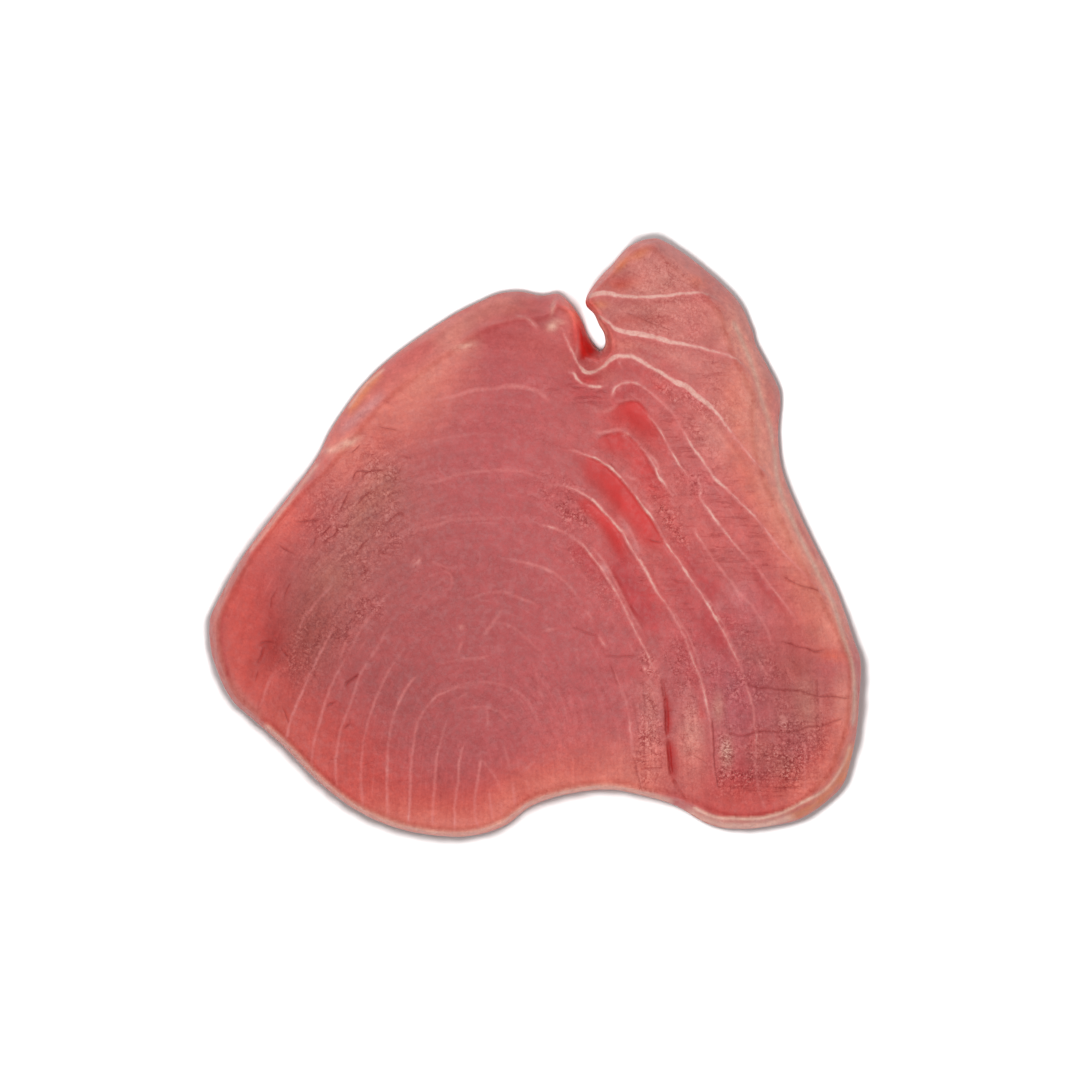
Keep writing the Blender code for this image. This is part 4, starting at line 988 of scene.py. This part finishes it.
def steak_mesh():
    """The steak's points in drawn millimetres, how much each belongs to its side, and its faces."""
    rings = wall_rings()
    count = len(rings[0])
    roughen_wall(rings)
    rim = rings[-1][:, :2]
    upper = top_points(rim)
    under = kept_inside(hex_grid(UNDER_STEP), rings[0][:, :2], 0.8)

    top_plan = np.concatenate([rim, upper])
    seen = as_seen(np.column_stack([top_plan, top_height(top_plan)]))
    _, depth = crack_field(seen)
    lift = fine_relief(seen, membrane_field(seen), depth)
    gap, _ = distance_to(top_plan, rim, SHOULDER)
    edge = EDGE_DROP * np.clip(1 - gap / SHOULDER, 0, 1) ** 2
    top_z = top_height(top_plan) * (1 - edge) + lift
    for level, ring in enumerate(rings[1:], 1):
        ring[:, 2] += lift[:count] * np.clip(2.5 * level / (len(rings) - 1) - 1.5, 0, 1)

    wall = np.concatenate(rings)
    top = np.column_stack([upper, top_z[count:]])
    bottom = np.column_stack([under, np.zeros(len(under))])
    near_rim = np.clip(1.5 - gap[count:] / SHOULDER, 0, 1)
    sideways = np.concatenate([np.ones(len(wall)), near_rim, np.ones(len(bottom))])
    return np.concatenate([wall, top, bottom]), sideways, *steak_faces(rings, upper, under)


def brought_to_size(points):
    """The points in metres on the CAD body's box, the scale, and the middles of both boxes' bases."""
    low, high = (np.array(corner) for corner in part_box(NODE))
    drawn_low, drawn_high = points.min(axis=0), points.max(axis=0)
    scale = np.array([(high[0] - low[0]) / (drawn_high[0] - drawn_low[0])] * 3)
    scale[2] = (high[2] - low[2]) / (drawn_high[2] - drawn_low[2])
    middle = (drawn_low + drawn_high) / 2
    middle[2] = drawn_low[2]
    base = (low + high) / 2
    base[2] = low[2]
    return (points - middle) * scale + base, scale[0], middle, base


def flesh_fields(points, steep):
    """What the flesh's material reads at each point: its colour, and numbers from 0 to about 1."""
    plan = as_seen(points)
    height_share = np.clip(points[:, 2] / SWELL_LEVEL, 0, 1)
    on_top = np.clip(6 * height_share - 4.6, 0, 1)
    side = np.clip(1.8 - 4 * height_share + 0.9 * clouds(points, 7.0, 3, 11.0), 0, 1)
    side *= height_share < 0.85

    colour = tissue_colour(plan, 1 - side)
    colour = tinted(colour, "side", 0.8 * side)
    colour = tinted(colour, "rim_red", side * np.clip(0.30 + 0.8 * clouds(points, 12.0, 3, 15.0), 0, 0.8))
    # The right side is mottled the most. Steep places, the notch's wall most, are painted lighter as
    # painted light, and the foot is painted darker as painted shade.
    mottle = 0.07 + 0.05 * np.clip(plan[:, 0] / 15 - 0.4, 0, 1)
    colour *= (1 + 0.05 * clouds(points, 9.0, 2, 2.0) + mottle * clouds(points, 3.2, 3, 6.0))[:, None]
    colour *= (1 + 0.55 * steep * (1 + 2.2 * spot(plan, *NOTCH_WALL)))[:, None]
    colour *= (0.60 + 0.40 * np.clip(3.4 * height_share - 0.3, 0, 1))[:, None]

    broken = np.clip(0.62 + 1.1 * clouds(points, 2.6, 2, 21.0), 0.1, 1.3)
    across, along = layer_places(plan)
    wet = sum(strength * beside(plan, stations, width) for _, width, strength, _, stations in HOLLOWS)
    return {
        "tissue": np.clip(colour, 0, 1),
        "membrane": membrane_field(plan) * (0.45 + 0.55 * on_top),
        "crack": crack_field(plan)[0] * on_top,
        "side": side,
        "frost_and_glints": spots(plan, FROSTY_GLINTING) * broken * on_top,
        "wrinkle": spots(plan, WRINKLED) * on_top,
        "streak": spots(plan, STREAKED) * on_top,
        "across": across,
        "along": along,
        "smooth": np.clip(wet, 0, 1),
    }


def store(mesh, name, values):
    """Keeps a number, or a colour, for each point of the mesh, where its material reads it."""
    if values.ndim == 1:
        mesh.attributes.new(name, "FLOAT", "POINT").data.foreach_set("value", values.astype(np.float32))
        return
    rgba = np.column_stack([values, np.ones(len(values))]).astype(np.float32)
    mesh.attributes.new(name, "FLOAT_COLOR", "POINT").data.foreach_set("color", rgba.ravel())


def steak_object():
    """The steak as one mesh object, at the CAD body's place and size."""
    points, sideways, quads, triangles = steak_mesh()
    placed, scale, middle, base = brought_to_size(points)
    mesh = bpy.data.meshes.new("steak")
    mesh.from_pydata(placed.tolist(), [], quads.tolist() + triangles.tolist())
    mesh.validate()
    upright = np.empty(3 * len(points))
    mesh.vertex_normals.foreach_get("vector", upright)
    steep = sideways * np.clip(1.8 - 2.0 * upright[2::3], 0, 1)
    for name, values in flesh_fields(points, steep).items():
        store(mesh, name, values)
    mesh.shade_smooth()
    steak = bpy.data.objects.new("steak", mesh)
    bpy.context.scene.collection.objects.link(steak)
    return steak, scale, middle, base


class Nodes:
    """Short ways to add and join the nodes of one material."""

    def __init__(self, name):
        self.material = bpy.data.materials.new(name)
        self.material.use_nodes = True
        self.tree = self.material.node_tree
        self.shader = self.tree.nodes["Principled BSDF"]

    def join(self, source, target):
        """Sets an input socket from another socket or from a plain value."""
        if isinstance(source, bpy.types.NodeSocket):
            self.tree.links.new(source, target)
        else:
            target.default_value = source

    def attribute(self, name, output="Fac"):
        """A value that store() has kept on the mesh."""
        node = self.tree.nodes.new("ShaderNodeAttribute")
        node.attribute_name = name
        return node.outputs[output]

    def maths(self, operation, *values):
        """The result of one operation on sockets or plain values."""
        node = self.tree.nodes.new("ShaderNodeMath")
        node.operation = operation
        for value, socket in zip(values, node.inputs):
            self.join(value, socket)
        return node.outputs[0]

    def times(self, first, second):
        """The product of two sockets or plain values."""
        return self.maths("MULTIPLY", first, second)

    def off_middle(self, signal):
        """How far a noise is from its middle value, on either side."""
        return self.maths("ABSOLUTE", self.maths("SUBTRACT", signal, 0.5))

    def ramp(self, value, low, high, to_low=0.0, to_high=1.0):
        """Value mapped smoothly from one range to another."""
        node = self.tree.nodes.new("ShaderNodeMapRange")
        node.interpolation_type = "SMOOTHSTEP"
        for source, socket in zip((value, low, high, to_low, to_high), node.inputs):
            self.join(source, socket)
        return node.outputs[0]

    def mix(self, share, first, second, blend="MIX"):
        """Two colours mixed, with this share of the second."""
        node = self.tree.nodes.new("ShaderNodeMix")
        node.data_type = "RGBA"
        node.blend_type = blend
        sockets = [socket for socket in node.inputs if socket.type == "RGBA"]
        self.join(share, node.inputs[0])
        self.join(first, sockets[0])
        self.join(second, sockets[1])
        return [socket for socket in node.outputs if socket.type == "RGBA"][0]

    def place(self):
        """The place on the object, in metres."""
        return self.tree.nodes.new("ShaderNodeTexCoord").outputs["Object"]

    def texture(self, waves, detail, roughness):
        """Noise whose waves per millimetre along x, y and z are given."""
        mapping = self.tree.nodes.new("ShaderNodeMapping")
        mapping.inputs["Scale"].default_value = [1000 * wave for wave in waves]
        self.join(self.place(), mapping.inputs["Vector"])
        return self.noise(mapping.outputs[0], detail, roughness)

    def layered(self, across, along, detail, roughness):
        """Noise whose waves per millimetre across and along the layers of the flesh are given."""
        combined = self.tree.nodes.new("ShaderNodeCombineXYZ")
        self.join(self.times(self.attribute("across"), across), combined.inputs[0])
        self.join(self.times(self.attribute("along"), along), combined.inputs[1])
        parts = self.tree.nodes.new("ShaderNodeSeparateXYZ")
        self.join(self.place(), parts.inputs[0])
        drift = self.maths("ADD", parts.outputs[1], parts.outputs[2])
        self.join(self.times(drift, 1000 * along), combined.inputs[2])
        return self.noise(combined.outputs[0], detail, roughness)

    def noise(self, place, detail, roughness):
        """Noise from 0 to 1 with one wave for each unit of the place."""
        node = self.tree.nodes.new("ShaderNodeTexNoise")
        self.join(place, node.inputs["Vector"])
        node.inputs["Scale"].default_value = 1.0
        node.inputs["Detail"].default_value = detail
        node.inputs["Roughness"].default_value = roughness
        return node.outputs["Fac"]


def tissue(name):
    """A tissue's surface colour as a material's colour value."""
    return (*painted(name), 1.0)


def flesh_material():
    """Wet raw flesh: its colour from the mesh, with fibres, mottling, pale specks that are partly painted
    glints, and creases and wrinkles painted darker as painted shade.
    """
    net = Nodes("tuna_flesh")
    names = ("membrane", "crack", "frost_and_glints", "wrinkle", "streak", "smooth", "side")
    field = {name: net.attribute(name) for name in names}
    signal = {name: net.texture(*settings) for name, settings in TEXTURES.items()}
    signal |= {name: net.layered(*settings) for name, settings in LAYERED.items()}
    signal["crinkle"] = net.ramp(net.off_middle(signal["crinkle"]), 0.0, 0.085)

    tone = 0.0
    for name, amount, extras in SHADING:
        for place, extra in extras.items():
            amount = net.maths("MULTIPLY_ADD", field[place], extra, amount)
        tone = net.maths("MULTIPLY_ADD", net.maths("SUBTRACT", signal[name], 0.5), amount, tone)
    calm = net.maths("MULTIPLY_ADD", field["smooth"], -0.75, 1.0)
    tone = net.times(tone, calm)

    # Painted shade: the flesh is painted darker along fine creases and across the folds of wrinkles, where
    # the bump below also dips.
    crease = net.ramp(net.off_middle(signal["veins"]), 0.030, 0.0)
    crease = net.times(crease, net.ramp(signal["layers"], 0.44, 0.56))
    crease = net.times(crease, net.maths("MULTIPLY_ADD", field["frost_and_glints"], 0.60, 0.12))
    fold = net.times(net.ramp(signal["cross"], 0.47, 0.36), field["wrinkle"])
    tone = net.maths("SUBTRACT", tone, crease)
    tone = net.maths("SUBTRACT", tone, net.times(0.42, fold))
    shade = net.mix(net.maths("ADD", tone, 0.5), DARKEST, LIGHTEST)
    flesh = net.mix(1.0, net.attribute("tissue", "Color"), shade, "MULTIPLY")

    # Pale specks over the frosty places, partly the crinkled flesh's own and partly painted glints of the
    # wet surface.
    glint_speck = net.times(signal["crinkle"], net.ramp(signal["fine"], 0.46, 0.64))
    flesh = net.mix(net.times(0.55, net.times(glint_speck, field["frost_and_glints"])), flesh, tissue("frost_and_glints"))
    thread = net.times(net.ramp(signal["fibres"], 0.64, 0.76), net.times(calm, 0.12))
    flesh = net.mix(thread, flesh, tissue("pale_fibre"))
    seam = net.ramp(net.off_middle(signal["seams"]), 0.016, 0.002)
    flesh = net.mix(net.times(seam, net.times(field["side"], 0.6)), flesh, tissue("web"))
    web = net.mix(net.ramp(field["membrane"], 0.40, 0.85), tissue("web"), tissue("membrane"))
    shown = net.times(field["membrane"], net.ramp(signal["fine"], 0.30, 0.60, 0.68, 1.0))
    flesh = net.mix(shown, flesh, web)
    # Painted shade inside the cracks and the gash.
    flesh = net.mix(field["crack"], flesh, tissue("crack"))
    net.join(flesh, net.shader.inputs["Base Color"])

    net.join(net.ramp(signal["grain"], 0.35, 0.65, 0.50, 0.62), net.shader.inputs["Roughness"])
    for name, value in SHADER_VALUES.items():
        net.shader.inputs[name].default_value = value

    bump = net.tree.nodes.new("ShaderNodeBump")
    bump.inputs["Strength"].default_value = 0.6
    bump.inputs["Distance"].default_value = BUMP_HEIGHT
    bumpy = net.times(0.9, net.times(signal["crinkle"], field["frost_and_glints"]))
    height = net.maths("ADD", signal["grain"], bumpy)
    height = net.maths("SUBTRACT", height, net.times(0.6, fold))
    height = net.maths("SUBTRACT", height, crease)
    net.join(net.times(height, calm), bump.inputs["Height"])
    net.join(bump.outputs[0], net.shader.inputs["Normal"])
    return net.material


def floor_object():
    """A plain pale floor under the steak."""
    mesh = bpy.data.meshes.new("floor")
    signs = ((-1, -1), (1, -1), (1, 1), (-1, 1))
    mesh.from_pydata([(x * FLOOR_REACH, y * FLOOR_REACH, 0) for x, y in signs], [], [(0, 1, 2, 3)])
    net = Nodes("floor_paper")
    tone = net.ramp(net.texture((0.02, 0.02, 0.02), 2.0, 0.55), 0.3, 0.7, 0.90, 0.93)
    net.join(net.mix(1.0, (1.0, 1.0, 1.0, 1.0), tone, "MULTIPLY"), net.shader.inputs["Base Color"])
    net.shader.inputs["Roughness"].default_value = 0.85
    mesh.materials.append(net.material)
    floor = bpy.data.objects.new("floor", mesh)
    floor.location.z = -FLOOR_GAP
    bpy.context.scene.collection.objects.link(floor)


def soft_box(name, place, size, power):
    """A square soft light that faces the steak. Its place and size are in metres."""
    light = bpy.data.lights.new(name, "AREA")
    light.size = size
    light.energy = power
    lamp = bpy.data.objects.new(name, light)
    lamp.location = place
    lamp.rotation_euler = Vector(place).to_track_quat("Z", "Y").to_euler()
    bpy.context.scene.collection.objects.link(lamp)


def lights():
    """An even surround, a small light overhead that keeps the shadow narrow, and a soft one aside."""
    world = bpy.data.worlds.new("studio")
    world.use_nodes = True
    background = world.node_tree.nodes["Background"]
    background.inputs["Color"].default_value = (1.0, 1.0, 1.0, 1.0)
    background.inputs["Strength"].default_value = SURROUND
    bpy.context.scene.world = world
    soft_box("top_light", place=(-0.008, -0.008, 0.40), size=0.05, power=1.69)
    soft_box("side_light", place=(-0.70, 0.80, 1.10), size=0.50, power=3.2)


def camera(scale, middle, base):
    """A long lens straight above, framed to the width of the view."""
    lens = bpy.data.cameras.new("camera")
    lens.sensor_width = 36.0
    lens.lens = lens.sensor_width * EYE_HEIGHT / VIEW_WIDTH
    lens.clip_end = 10.0
    holder = bpy.data.objects.new("camera", lens)
    holder.location = (*((EYE - middle[:2]) * scale + base[:2]), EYE_HEIGHT * scale)
    bpy.context.scene.collection.objects.link(holder)
    bpy.context.scene.camera = holder


def main():
    """Builds the steak and everything round it."""
    bpy.context.scene.view_settings.view_transform = "Standard"
    steak, scale, middle, base = steak_object()
    steak.data.materials.append(flesh_material())
    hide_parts(NODE)
    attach(steak, "root")
    camera(scale, middle, base)
    floor_object()
    lights()


main()
